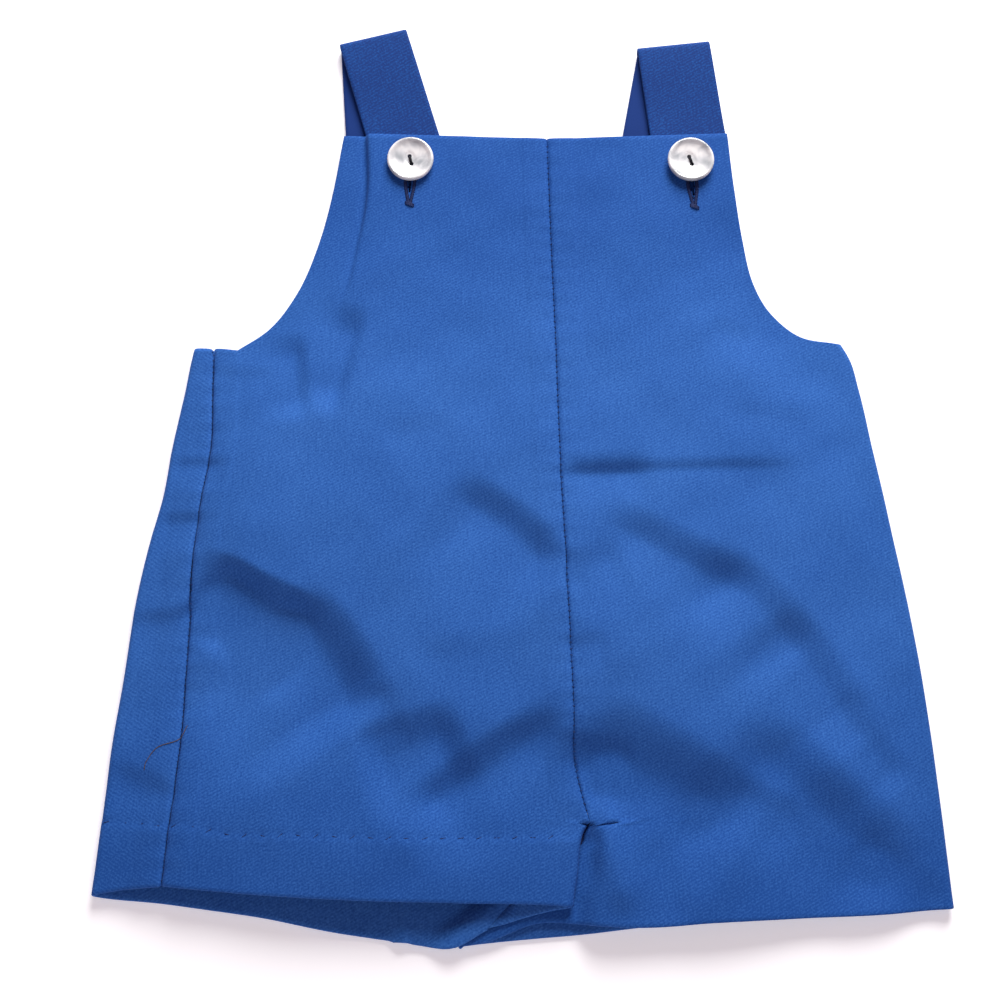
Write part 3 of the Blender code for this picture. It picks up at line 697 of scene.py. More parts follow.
# EDGE_ROUND has shares of the way through the cloth, and how far its edge swells there. The weave's
# third coordinate tells the faces apart: 0 on the outer one, INNER_FACE on the inner one.
EDGE_ROUND = ((0.15, 0.7), (0.5, 1), (0.85, 0.7))
INNER_FACE = 3.0
FLAT_WITHIN = 0.01


def cloth_shell(name, grid, cloth, outward, thickness, relief, kept, edge_roll):
    """A thin closed shell: the outer face with its relief, the inner face, and a rounded edge.

    kept says which cells of the grid are cloth, and edge_roll how far the edge rounds out at each point.
    """
    normals, flipped = outer_normals(grid, outward)
    rows, count = grid.shape[:2]
    outer = (grid + normals * relief[..., None]).reshape(-1, 3)
    inner = (grid - normals * thickness).reshape(-1, 3)
    normals = normals.reshape(-1, 3)
    i, j = np.nonzero(kept)
    first = i * count + j
    quads = np.stack([first, first + 1, first + count + 1, first + count], axis=-1)
    if flipped:
        quads = quads[:, ::-1]
    total = rows * count
    starts = quads.ravel()
    stops = np.roll(quads, -1, axis=1).ravel()
    there = set((starts * total + stops).tolist())
    border = [(a, b) for a, b in zip(starts.tolist(), stops.tolist()) if b * total + a not in there]
    outwards = {}
    for a, b in border:
        push = np.cross(outer[b] - outer[a], normals[a])
        push /= np.linalg.norm(push)
        outwards[a] = outwards.get(a, 0) + push
        outwards[b] = outwards.get(b, 0) + push
    places = [outer, inner]
    rim = {}
    size = 2 * total
    roll = edge_roll.ravel()
    for k, push in outwards.items():
        push = push / np.linalg.norm(push) * roll[k]
        rounds = [mix(outer[k], inner[k], share) + push * swell for share, swell in EDGE_ROUND]
        rim[k] = (k, size, size + 1, size + 2, k + total)
        places.append(np.array(rounds))
        size += 3
    faces = quads.tolist()
    faces += (quads[:, ::-1] + total).tolist()
    for a, b in border:
        for step in range(4):
            faces.append([rim[b][step], rim[a][step], rim[a][step + 1], rim[b][step + 1]])
    places = np.concatenate(places)
    weave = np.concatenate([
        np.stack([cloth.ravel(), grid[..., 1].ravel(), np.zeros(total)], axis=-1),
        np.stack([cloth.ravel(), grid[..., 1].ravel(), np.full(total, INNER_FACE)], axis=-1),
        np.zeros((3 * len(rim), 3)),
    ])
    for k, ring in rim.items():
        for step in (1, 2, 3):
            weave[ring[step]] = (*weave[k][:2], INNER_FACE / 4 * step)
    used, faces = np.unique(np.array(faces), return_inverse=True)
    places = places[used]
    places[:, 1] -= MIDDLE_Y
    mesh = bpy.data.meshes.new(name)
    mesh.from_pydata((places * MM).tolist(), [], faces.reshape(-1, 4).tolist())
    held = mesh.attributes.new("weave_mm", "FLOAT_VECTOR", "POINT")
    held.data.foreach_set("vector", weave[used].astype(np.float32).ravel())
    mesh.shade_smooth()
    mesh.update()
    return mesh


def show(name, mesh, finish):
    mesh.materials.append(finish)
    piece = bpy.data.objects.new(name, mesh)
    bpy.context.scene.collection.objects.link(piece)
    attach(piece, "root")
    return piece


def linear(colour):
    """An sRGB hex colour as linear red, green, blue and alpha."""
    parts = [int(colour[i : i + 2], 16) / 255 for i in (1, 3, 5)]
    return (*(c / 12.92 if c <= 0.04045 else ((c + 0.055) / 1.055) ** 2.4 for c in parts), 1.0)


def add_node(tree, kind, inputs=(), **settings):
    """Adds a node with its settings, and gives each named input a value or a link."""
    made = tree.nodes.new(kind)
    for name, value in settings.items():
        setattr(made, name, value)
    for name, value in dict(inputs).items():
        if isinstance(value, bpy.types.NodeSocket):
            tree.links.new(value, made.inputs[name])
        else:
            made.inputs[name].default_value = value
    return made


def new_finish(name):
    """A new material, its node tree and its shader."""
    finish = bpy.data.materials.new(name)
    finish.use_nodes = True
    tree = finish.node_tree
    return finish, tree, tree.nodes["Principled BSDF"]


def set_sockets(shader, values):
    """Numbers and colours that are the same all over the surface."""
    for socket, value in values.items():
        shader.inputs[socket].default_value = value


def noise(tree, place, size, detail, distortion=0.0):
    """Cloudy noise with patches about as wide as size, in the units of place."""
    inputs = {"Vector": place, "Scale": 1 / size, "Detail": detail, "Distortion": distortion}
    return add_node(tree, "ShaderNodeTexNoise", inputs).outputs["Fac"]


def weighted(tree, patterns, onto=0.0):
    """The sum of patterns, each times its weight, added onto a value."""
    for pattern, weight in patterns:
        inputs = {0: pattern, 1: weight, 2: onto}
        onto = add_node(tree, "ShaderNodeMath", inputs, operation="MULTIPLY_ADD").outputs[0]
    return onto


def graded(tree, value, start, stop, amount, interpolation="SMOOTHSTEP"):
    """A grade from 0 at start to amount at stop."""
    inputs = {"Value": value, "From Min": start, "From Max": stop, "To Min": 0.0, "To Max": amount}
    return add_node(tree, "ShaderNodeMapRange", inputs, interpolation_type=interpolation).outputs["Result"]


def colour_ramp(tree, shader, value, first, last, between=None):
    """Colours the shader over a value, from stops of a position and an sRGB colour."""
    ramp = add_node(tree, "ShaderNodeValToRGB", {"Fac": value})
    elements = ramp.color_ramp.elements
    for element, (position, colour) in zip(elements, (first, last)):
        element.position = position
        element.color = linear(colour)
    if between:
        elements.new(between[0]).color = linear(between[1])
    tree.links.new(ramp.outputs["Color"], shader.inputs["Base Color"])


def raised(tree, shader, height, strength, distance_mm):
    """Fine relief in the shader's normal."""
    inputs = {"Height": height, "Strength": strength, "Distance": distance_mm * MM}
    bump = add_node(tree, "ShaderNodeBump", inputs)
    tree.links.new(bump.outputs["Normal"], shader.inputs["Normal"])


# Twill: a soft dull face with a faint diagonal rib and flecks where the yarns take the dye unevenly.
# A real rib is taken as about 0.5 mm apart; here it is drawn at 1.05 mm so that it shows.
TWILL_RIB_MM = 1.05
TWILL_ANGLE = math.radians(62)
YARN_FLECK_MM = 0.7
SLUB_MM = (0.8, 7.0)
WORN_PATCH_MM = 34.0
# Painted shade: the twill is coloured darker from y 20 up to the bib's top, where less light falls on it.
BIB_PAINTED_FROM_Y = 20.0
BIB_PAINTED_TO_Y = 115.0
BIB_PAINTED_SHADE = 0.14
# Painted shade: the twill is coloured darker from y -60 down to the hems, where less light falls on it.
HEM_PAINTED_FROM_Y = -60.0
HEM_PAINTED_TO_Y = -160.0
HEM_PAINTED_SHADE = 0.12
RIB_WEIGHT = 0.1
FLECK_WEIGHT = 0.66
SLUB_WEIGHT = 0.14
WORN_WEIGHT = 0.16


def twill(name, shade, mid, light, rib_bump, inside):
    """Twill of three shades with painted shade towards the bib's top and the hems; inside says how much
    darker its inner face is, negative for paler, and where it is darker it is painted shadow.
    """
    finish, tree, shader = new_finish(name)
    place = add_node(tree, "ShaderNodeAttribute", attribute_name="weave_mm").outputs["Vector"]
    turned = add_node(tree, "ShaderNodeMapping", {"Vector": place, "Rotation": (0, 0, TWILL_ANGLE)})
    rib = add_node(
        tree,
        "ShaderNodeTexWave",
        {
            "Vector": turned.outputs["Vector"],
            "Scale": math.pi / 10 / TWILL_RIB_MM,
            "Distortion": 1.6,
            "Detail": 2.0,
            "Detail Scale": 1.4,
        },
        bands_direction="X",
    )
    yarn = {"Vector": place, "Scale": (1 / SLUB_MM[0], 1 / SLUB_MM[1], 1.0)}
    stretched = add_node(tree, "ShaderNodeMapping", yarn)
    fleck = noise(tree, place, YARN_FLECK_MM, 3.0)
    slub = noise(tree, stretched.outputs["Vector"], 1.0, 1.0)
    worn = noise(tree, place, WORN_PATCH_MM, 2.0)
    woven = ((rib.outputs["Fac"], RIB_WEIGHT), (fleck, FLECK_WEIGHT), (slub, SLUB_WEIGHT))
    threads = weighted(tree, woven)
    shades = weighted(tree, ((worn, WORN_WEIGHT),), threads)
    split = add_node(tree, "ShaderNodeSeparateXYZ", {"Vector": place})
    # Painted shade: darker towards the bib's top and the hems, and on the straps a darker inner face as
    # painted shadow; on the body twill the inner face is paler, its own reverse.
    darker = (
        graded(tree, split.outputs["Y"], BIB_PAINTED_FROM_Y, BIB_PAINTED_TO_Y, BIB_PAINTED_SHADE),
        graded(tree, split.outputs["Y"], HEM_PAINTED_FROM_Y, HEM_PAINTED_TO_Y, HEM_PAINTED_SHADE),
        graded(tree, split.outputs["Z"], 1.0, 2.0, inside, "LINEAR"),
    )
    for less in darker:
        shades = add_node(tree, "ShaderNodeMath", {0: shades, 1: less}, operation="SUBTRACT").outputs[0]
    colour_ramp(tree, shader, shades, (0.34, shade), (0.76, light), (0.55, mid))
    raised(tree, shader, threads, rib_bump, 0.12)
    soft = {
        "Roughness": 0.82,
        "Specular IOR Level": 0.18,
        "Sheen Weight": 0.05,
        "Sheen Roughness": 0.45,
        "Sheen Tint": linear("#9DB6E6"),
    }
    set_sockets(shader, soft)
    return finish


# The body twill has random worn patches plus painted shade towards the bib's top and the hems; its paler
# inner face is the twill's own reverse.
blue_twill = twill("blue_twill_worn_and_painted_shade", "#174A94", "#2C61AC", "#3E76C1", 0.35, -0.14)

BUTTONHOLES = {
    "button_right": {"top": (-41.5, 115.5), "low": (-41.8, 96.6)},
    "button_left": {"top": (64.3, 115.3), "low": (65.4, 95.8)},
}
BUTTONHOLE_GAPE = 1.25
BUTTONHOLE_TAPER = 8.5
BUTTONHOLE_LIP = 0.15
BUTTONHOLES_ABOVE_Y = 90


def gape(hole, y):
    """Middle x of a buttonhole at y, and half the width to which the button pulls it open."""
    (x_top, y_top), (x_low, y_low) = hole["top"], hole["low"]
    x = mix(x_low, x_top, (y - y_low) / (y_top - y_low))
    half = BUTTONHOLE_GAPE * ease((y - y_low - 0.6) / BUTTONHOLE_TAPER) ** 0.7
    return x, half * ease((y_top - y) / 3)


FRONTS = {
    "front_right": {
        "columns": front_right_columns,
        "place": place_front_right,
        "near": right_front_z,
        "relief": right_relief,
        "hem": (RIGHT_HEM, "front_y"),
        "armhole": (RIGHT_ARMHOLE, "front"),
        "underarm_y": 41.0,
        "underarm_rise": -0.006,
        "underarm_dip": 0.88,
        "bib_top": 123.5,
        "folded": LEDGE_STEPS,
        "flat": (0.176, 0.297),
        "area": 0.0338,
    },
    "front_left": {
        "columns": front_left_columns,
        "place": place_front_left,
        "near": left_front_z,
        "relief": left_relief,
        "hem": (LEFT_HEM, "front_y"),
        "armhole": (LEFT_ARMHOLE, "front"),
        "underarm_y": 41.0,
        "underarm_rise": 0.011,
        "underarm_dip": 0.0,
        "bib_top": 123.5,
        "folded": LEFT_FRONT_FOLDED,
        "flat": (0.182, 0.297),
        "area": 0.0322,
    },
}
EDGE_ROLL = 0.42
BIB_ROW = LEG_ROWS + BODY_ROWS


def panel_edges(grid, folded):
    """Which cells are cloth, and how far each point's edge rounds out: not at all along the seams."""
    rows, count = grid.shape[:2]
    kept = np.ones((rows - 1, count - 1), bool)
    if folded:
        kept[BIB_ROW:, count - 1 - folded :] = False
    roll = np.full((rows, count), EDGE_ROLL)
    roll[:, 0] = 0.0
    roll[: BIB_ROW + 1, count - 1] = 0.0
    return kept, roll


for name, piece in FRONTS.items():
    grid, cloth = panel_grid(piece)
    kept, roll = panel_edges(grid, piece["folded"])
    relief = piece["relief"](grid[..., 0], grid[..., 1])
    relief = np.where(np.abs(cloth - grid[..., 0]) > FLAT_WITHIN, 0.0, relief)
    middle = (grid[1:, 1:] + grid[:-1, :-1]) / 2
    for hole in BUTTONHOLES.values():
        x, half = gape(hole, middle[..., 1])
        inside = np.abs(middle[..., 0] - x) < half - BUTTONHOLE_LIP
        kept &= ~(inside & (middle[..., 1] > BUTTONHOLES_ABOVE_Y))
    mesh = cloth_shell(name + "_cloth", grid, cloth, 1, CLOTH, relief, kept, roll)
    front = show(name + "_cloth", mesh, blue_twill)
    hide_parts(name)

# Backs.
# The wearer's right and left back, of the same twill, lie face down on the surface. The right back
# comes round the viewer's left fold to the side seam, and shows its inside below the open hem.
BACK_STEPS = 56
BACK_BAND_STEPS = 8
SIDE_STRIP_STEPS = 14
BACK_FOLD_STEPS = 9

RIGHT_BACK_HEM = table(
    "s back_y",
    (-180, -150.0),
    (-155, -152.6),
    (-147, -154.1),
    (-122, -156.8),
    (-92, -160.8),
    (-58, -167.0),
    (-40, -169.4),
    (-23, -170.8),
    (-12, -165.0),
    (10, -159.0),
    (20, -157.5),
)


def back_right_columns(y_in, y_out, armhole_x=None):
    if y_in < CROTCH_Y:
        fold = through(LEG_EDGES, "right_leg", y_in) - LEG_FOLD_RADIUS
        seam = fold + math.pi * LEG_FOLD_RADIUS - inseam_wrap(y_in) - SEAM_GAP
        fold = min(fold, seam - SEAM_BAND / 2)
    else:
        seam = through(CENTRE, "back_seam", y_in) - SEAM_GAP / 2
        fold = seam - SEAM_BAND / 2
    side = through(SIDES, "right_fold", y_out) + SIDE_FOLD_RADIUS
    seam_x = through(SIDES, "side_seam", y_out) - SIDE_SEAM_GAP / 2
    arc = side - math.pi * SIDE_FOLD_RADIUS
    over = arc - (seam_x - side)
    ledge = side + BACK_LEDGE
    if armhole_x is not None:
        ledge = armhole_x
        side = ledge - UNUSED_STEP
        arc = side - UNUSED_STEP
        over = arc - UNUSED_STEP
    return np.concatenate([
        finer_first(seam, fold, BACK_BAND_STEPS),
        evenly(fold, ledge, BACK_STEPS),
        evenly(ledge, side, LEDGE_STEPS),
        evenly(side, arc, BACK_FOLD_STEPS),
        finer_last(arc, over, SIDE_STRIP_STEPS),
    ])


def back_left_columns(y_in, y_out, armhole_x=None):
    if y_in < CROTCH_Y:
        fold = through(LEG_EDGES, "left_leg", y_in) + LEG_FOLD_RADIUS
        seam = fold - LEG_FOLD_RADIUS * math.pi / 2 + SEAM_GAP / 2
    else:
        seam = through(CENTRE, "back_seam", y_in) + SEAM_GAP / 2
        fold = seam + SEAM_BAND / 2
    side = through(SIDES, "left_fold", y_out) - SIDE_FOLD_RADIUS - SEAM_PAST_FOLD - SEAM_GAP / 2
    if armhole_x is not None:
        side = armhole_x
    return np.concatenate([
        finer_first(seam, fold, BACK_BAND_STEPS),
        np.linspace(fold, side, BACK_STEPS + 1),
    ])


def place_back_right(s, y):
    side = through(SIDES, "right_fold", y[-1])
    x, z = fold_over(s, y, right_back_z, right_front_z, side, SIDE_FOLD_RADIUS, -1)
    if y[0] < CROTCH_Y:
        edge = through(LEG_EDGES, "right_leg", y[0])
        inner = s > edge - 2 * LEG_FOLD_RADIUS
        leg_x, leg_z = fold_over(s, y, right_back_z, right_front_z, edge, LEG_FOLD_RADIUS, 1)
        x = np.where(inner, leg_x, x)
        z = np.where(inner, leg_z, z)
    return x, z


def place_back_left(s, y):
    if y[0] >= CROTCH_Y:
        return s, left_back_z(s, y)
    edge = through(LEG_EDGES, "left_leg", y[0])
    return fold_over(s, y, left_back_z, left_front_z, edge, LEG_FOLD_RADIUS, -1)


BACKS = {
    "back_right": {
        "columns": back_right_columns,
        "place": place_back_right,
        "near": right_back_z,
        "hem": (RIGHT_BACK_HEM, "back_y"),
        "armhole": (RIGHT_ARMHOLE, "back"),
        "underarm_y": 38.0,
        "underarm_rise": 0.015,
        "underarm_dip": 0.95,
        "bib_top": BACK_BIB_TOP,
        "folded": LEDGE_STEPS + BACK_FOLD_STEPS + SIDE_STRIP_STEPS,
        "flat": (0.200, 0.291),
        "area": 0.0401,
    },
    "back_left": {
        "columns": back_left_columns,
        "place": place_back_left,
        "near": left_back_z,
        "hem": (LEFT_HEM, "back_y"),
        "armhole": (LEFT_ARMHOLE, "back"),
        "underarm_y": 38.0,
        "underarm_rise": 0.02,
        "underarm_dip": 0.0,
        "bib_top": BACK_BIB_TOP,
        "folded": 0,
        "flat": (0.164, 0.291),
        "area": 0.0300,
    },
}

# The underside rests flat; its creases are shallow, and repeat the front's mirrored and moved.
UNDERSIDE = {"share": 0.16, "deepest": 0.75, "middle_x": 12.0, "up": 9.0}

for name, piece in BACKS.items():
    grid, cloth = panel_grid(piece)
    kept, roll = panel_edges(grid, piece["folded"])
    mirrored = crease_depth(2 * UNDERSIDE["middle_x"] - grid[..., 0], grid[..., 1] - UNDERSIDE["up"])
    relief = -np.clip(UNDERSIDE["share"] * mirrored, 0, UNDERSIDE["deepest"])
    relief[np.abs(cloth - grid[..., 0]) > FLAT_WITHIN] = 0.0
    if piece["folded"]:
        strip = slice(-piece["folded"], None)
        relief[:, strip] = right_relief(grid[:, strip, 0], grid[:, strip, 1])
        relief[np.abs(cloth - grid[..., 0]) < FLAT_WITHIN] = 0.0
    mesh = cloth_shell(name + "_cloth", grid, cloth, -1, CLOTH, relief, kept, roll)
    back = show(name + "_cloth", mesh, blue_twill)
    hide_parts(name)

# Straps.
# Two straps of doubled, pressed twill, sewn to the back bib, which come over the top edge and lie
# doubled forward under the front bib, where each carries its button.
STRAP_CLOTH = 1.6
STRAP_FOLD_RADIUS = 2.4
STRAPS = {
    "strap_right": {
        "start": ((-65.9, 119.3), (-39.6, 119.3)),
        "fold": ((-69.6, 164.0), (-44.6, 170.4)),
        "bib": ((-58.6, 125.7), (-31.3, 126.1)),
        "end": ((-51.8, STRAP_END_Y), (-24.1, STRAP_END_Y)),
        "flat": (0.0266, 0.122),
    },
    "strap_left": {
        "start": ((38.4, 119.3), (65.0, 119.3)),
        "fold": ((45.7, 162.3), (72.9, 165.3)),
        "bib": ((50.0, 125.7), (78.2, 125.6)),
        "end": ((52.5, STRAP_END_Y), (79.4, STRAP_END_Y)),
        "flat": (0.0266, 0.117),
    },
}
STRAP_STEPS = 24
STRAP_SECTIONS = {"behind": 30, "fold": 14, "over": 30, "under_bib": 18}
STRAP_SETTLING = 1.15


def strap_grid(strap):
    """A strap's outer face: from the back bib up, round its fold, and down behind the front bib."""
    fold_left, fold_right = (np.array(point) for point in strap["fold"])
    line = (fold_right - fold_left) / np.linalg.norm(fold_right - fold_left)
    outwards = np.array([-line[1], line[0]]) * STRAP_FOLD_RADIUS
    bend = (fold_left - outwards, fold_right - outwards)
    sections = []
    for share in evenly(0, 1, STRAP_SECTIONS["behind"]):
        ends = [mix(np.array(strap["start"][k]), bend[k], share) for k in range(2)]
        sections.append((*ends, 0.0))
    for turn in evenly(0, math.pi, STRAP_SECTIONS["fold"]):
        z = STRAP_FOLD_RADIUS * (1 - math.cos(turn))
        ends = [bend[k] + outwards * math.sin(turn) for k in range(2)]
        sections.append((*ends, z))
    for share in evenly(0, 1, STRAP_SECTIONS["over"]):
        ends = [mix(bend[k], np.array(strap["bib"][k]), share) for k in range(2)]
        settled = ease(share * STRAP_SETTLING)
        sections.append((*ends, mix(2 * STRAP_FOLD_RADIUS, STRAP_FRONT_TOP_Z, settled)))
    for share in np.linspace(0, 1, STRAP_SECTIONS["under_bib"]):
        ends = [mix(np.array(strap["bib"][k]), np.array(strap["end"][k]), share) for k in range(2)]
        sections.append((*ends, STRAP_FRONT_TOP_Z))
    return np.array([
        [[*mix(left, right, share), z] for share in np.linspace(0, 1, STRAP_STEPS + 1)]
        for left, right, z in sections
    ])


# Painted shade: the strap twill is a darker copy of the body twill, and its inner face, which shows on the
# lower run beside the upper one, is darker still as painted shadow of the upper run.
strap_twill = twill("strap_twill_pressed_double_painted_shade", "#0F3273", "#184F97", "#2662AF", 0.4, 0.3)

for name, strap in STRAPS.items():
    grid = strap_grid(strap)
    along = np.cumsum(np.linalg.norm(np.diff(grid, axis=0, prepend=grid[:1]), axis=-1), axis=0)
    across = np.broadcast_to(np.linspace(0, STRAP_WIDTH, STRAP_STEPS + 1), along.shape)
    kept = np.ones((grid.shape[0] - 1, grid.shape[1] - 1), bool)
    roll = np.full(grid.shape[:2], EDGE_ROLL)
    mesh = cloth_shell(name + "_cloth", grid, across, 1, STRAP_CLOTH, np.zeros(grid.shape[:2]), kept, roll)
    cloth_strap = show(name + "_cloth", mesh, strap_twill)
    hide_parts(name)

# Sewing thread.
# Blue-black thread, taken as spun polyester.
# It joins the seams, catches the turned-up hems from inside with blind
# stitches, works the buttonholes in close satin stitch, and holds the buttons.
THREAD_SIDES = 6
SEAM_STITCH = {"spacing": 2.2, "length": 1.1, "radius": 0.13, "sunk": 0.6, "aside": 1.2, "slant": 0.25}
# The crotch tube is no stitch: a dark navy tube laid along the gap between the legs' inner edges below the
# crotch, painted shade that fills the gap so the floor doesn't show through.
CROTCH_SHADE_TUBE = {"z": 2.3, "radius": 0.5, "below": 9.5, "above": 1.5, "points": 12}
HEM_STITCH = {"length": 2.1, "radius": 0.15, "slant": 12.0, "rise": (-0.05, 0.12, -0.05)}
LIP_STITCH = {"spacing": 0.36, "length": 1.15, "radius": 0.2}
BAR_TACK = {"strands": 4, "length": 3.9, "spacing": 0.34, "radius": 0.21, "slant": -19.0}


def front_top(x, y):
    """Height of the fronts' outer face with its relief."""
    x = np.asarray(x, float)
    y = np.asarray(y, float)
    right = right_front_z(x, y) + right_relief(x, y)
    left = left_front_z(x, y) + left_relief(x, y)
    return np.where(x < inner_edge("right_leg", y), right, left)


def tube(points, radius):
    """Corners and faces of a closed tube along points, a little thinner at its ends."""
    points = np.asarray(points, float)
    along = np.gradient(points, axis=0)
    along /= np.linalg.norm(along, axis=1, keepdims=True)
    aside = np.cross(along, (0.0, 0.0, 1.0))
    steep = np.linalg.norm(aside, axis=1) < 1e-3
    aside[steep] = np.cross(along[steep], (1.0, 0.0, 0.0))
    aside /= np.linalg.norm(aside, axis=1, keepdims=True)
    upward = np.cross(aside, along)
    widths = np.full(len(points), radius)
    widths[[0, -1]] *= 0.6
    turns = np.arange(THREAD_SIDES) * 2 * math.pi / THREAD_SIDES
    rings = points[:, None] + widths[:, None, None] * (
        np.cos(turns)[None, :, None] * aside[:, None] + np.sin(turns)[None, :, None] * upward[:, None]
    )
    faces = []
    for i in range(len(points) - 1):
        for j in range(THREAD_SIDES):
            a = i * THREAD_SIDES + j
            b = i * THREAD_SIDES + (j + 1) % THREAD_SIDES
            faces.append([a, b, b + THREAD_SIDES, a + THREAD_SIDES])
    last = (len(points) - 1) * THREAD_SIDES
    faces.append(list(range(THREAD_SIDES))[::-1])
    faces.append([last + j for j in range(THREAD_SIDES)])
    return rings.reshape(-1, 3), faces


def sewn(name, runs, finish):
    """One mesh of many threads, each given as its points and its radius in millimetres."""
    places = []
    faces = []
    start = 0
    for points, radius in runs:
        corners, sides = tube(points, radius)
        places.append(corners)
        faces += [[start + k for k in side] for side in sides]
        start += len(corners)
    places = np.concatenate(places)
    places[:, 1] -= MIDDLE_Y
    mesh = bpy.data.meshes.new(name)
    mesh.from_pydata((places * MM).tolist(), [], faces)
    mesh.shade_smooth()
    mesh.update()
    return show(name, mesh, finish)


# Spun thread is matt, with a faint twist that breaks up its light; the twist is drawn 0.3 mm long.
THREAD_TWIST_MM = 0.3


def thread(name, dark, light):
    finish, tree, shader = new_finish(name)
    place = add_node(tree, "ShaderNodeTexCoord").outputs["Object"]
    fibre = noise(tree, place, THREAD_TWIST_MM * MM, 2.0)
    colour_ramp(tree, shader, fibre, (0.35, dark), (0.7, light))
    raised(tree, shader, fibre, 0.4, 0.05)
    set_sockets(shader, {"Roughness": 0.7, "Specular IOR Level": 0.3})
    return finish


navy_thread = thread("navy_polyester_thread", "#111F4A", "#22376F")


def seam_stitches(line, low_y, high_y):
    """Short threads across a seam's gap, a little below its face."""
    runs = []
    for y in np.arange(low_y, high_y, SEAM_STITCH["spacing"]):
        x = float(line(y))
        half = SEAM_STITCH["length"] / 2
        z = float(front_top(x - SEAM_STITCH["aside"], y)) - SEAM_STITCH["sunk"]
        slant = SEAM_STITCH["slant"] * math.sin(2.1 * y)
        across = [(x - half, y - slant, z), (x, y, z + 0.1), (x + half, y + slant, z)]
        runs.append((across, SEAM_STITCH["radius"]))
    return runs


def hem_stitches(line, first_x, last_x):
    """Blind stitches: a short slanted thread in each dimple of the hem."""
    runs = []
    turn = math.radians(HEM_STITCH["slant"])
    half = HEM_STITCH["length"] / 2
    for k, x in enumerate(np.arange(first_x, last_x, DIMPLE_SPACING)):
        lean = turn + 0.5 * math.sin(3.3 * k)
        y = float(line(x))
        ends = [(x + side * half * math.cos(lean), y + side * half * math.sin(lean)) for side in (-1, 0, 1)]
        z = [float(front_top(*end)) for end in ends]
        lying = [(*end, height + up) for end, height, up in zip(ends, z, HEM_STITCH["rise"])]
        runs.append((lying, HEM_STITCH["radius"]))
    return runs


first_dimple = DIMPLES_FROM_X + DIMPLE_SPACING / 2
seam_and_crotch_shade_runs = seam_stitches(lambda y: through(CENTRE, "front_seam", y), CROTCH_Y + 2, 121.0)
seam_and_crotch_shade_runs += seam_stitches(lambda y: through(SIDES, "side_seam", y), -149.0, 39.0)
hem_runs = hem_stitches(lambda x: through(RIGHT_HEM_STITCHES, "y", x), first_dimple, 15.0)
# Painted shade: a dark tube along the middle of the gap between the legs below the crotch, put in the seam
# threads' mesh.
crotch_shade_tube = []
slit_y = (CROTCH_Y - CROTCH_SHADE_TUBE["below"], CROTCH_Y + CROTCH_SHADE_TUBE["above"])
for y in np.linspace(*slit_y, CROTCH_SHADE_TUBE["points"]):
    x = float(inner_edge("right_leg", y) + inner_edge("left_leg", max(y, CROTCH_Y - 7.0))) / 2
    crotch_shade_tube.append((x, y, CROTCH_SHADE_TUBE["z"]))
seam_and_crotch_shade_runs.append((crotch_shade_tube, CROTCH_SHADE_TUBE["radius"]))
seam_and_crotch_shade_threads = sewn("seam_stitches", seam_and_crotch_shade_runs, navy_thread)
hem_threads = sewn("hem_blind_stitches", hem_runs, navy_thread)

# Buttonholes.
# A cut slit in each corner of the bib, its two lips worked over in close satin stitch and closed by a
# bar tack at its lower end. The button pulls the upper part open.
LIP_LIFT = 0.22
for name, hole in BUTTONHOLES.items():
    runs = []
    (x_top, y_top), (x_low, y_low) = hole["top"], hole["low"]
    for y in np.arange(y_low, y_top - 1.0, LIP_STITCH["spacing"]):
        x, half = gape(hole, y)
        for side in (-1, 1):
            inside = x + side * (half - 0.05)
            outside = inside + side * (LIP_STITCH["length"] + 0.12 * math.sin(9 * y + side))
            z = float(front_top(outside, y))
            runs.append((
                [
                    (inside, y, z - 0.75),
                    (inside - side * 0.08, y, z - 0.1),
                    (mix(inside, outside, 0.3), y, z + LIP_LIFT),
                    (mix(inside, outside, 0.7), y, z + LIP_LIFT * 0.9),
                    (outside, y, z - 0.12),
                ],
                LIP_STITCH["radius"],
            ))
    turn = math.radians(BAR_TACK["slant"])
    for k in range(BAR_TACK["strands"]):
        y = y_low - 0.5 + k * BAR_TACK["spacing"]
        bar = []
        for share, up in ((-0.5, -0.15), (-0.3, 0.3), (0, 0.42), (0.3, 0.3), (0.5, -0.15)):
            reach = share * BAR_TACK["length"]
            x = x_low + reach * math.cos(turn)
            bar.append((x, y + reach * math.sin(turn), float(front_top(x_low, y_low)) + up))
        runs.append((bar, BAR_TACK["radius"]))
    worked = sewn("buttonhole" + name[6:], runs, navy_thread)

# Buttons.
# Two-hole buttons without a shank, polished and pearl-like, 17.5 mm wide, with a raised rounded rim,
# a dished face and an oval well round the holes, sewn to the strap with black-navy thread.
BUTTON_CENTRES = {"button_right": (-41.5, 114.0, -77.0), "button_left": (64.3, 113.8, -72.0)}
BUTTON_PROFILE = table(
    "step radius z",
    (0, 0.0, 1.42),
    (1, 2.2, 1.45),
    (2, 3.6, 1.60),
    (3, 5.2, 1.82),
    (4, 6.5, 2.16),
    (5, 7.3, 2.62),
    (6, 7.9, 2.93),
    (7, 8.4, 2.82),
    (8, 8.72, 2.35),
    (9, 8.70, 1.75),
    (10, 8.2, 1.05),
    (11, 7.1, 0.45),
    (12, 5.4, 0.0),
    (13, 0.0, 0.0),
)
BUTTON_SEGMENTS = 96
BUTTON_RINGS = 64
THREAD_HOLE_RADIUS = 0.8
THREAD_HOLE_OFFSET = 1.6
DRILL = {"sides": 32, "length": 12}
BUTTON_SHARP_EDGE = math.radians(50)
WELL = {"half_length": 3.3, "half_width": 2.0, "depth": 0.32}
BUTTON_THREADS = {"strands": 3, "spacing": 0.3, "radius": 0.2, "rise": 0.32, "crown": 0.12}

# A strand's way up one hole and down the other: shares of the holes' offset, and heights.
STRAND_PATH = ((-1.12, 0.2), (-1.08, 0.9), (-0.8, 1.2), (0, 1.42), (0.8, 1.2), (1.08, 0.9), (1.12, 0.2))


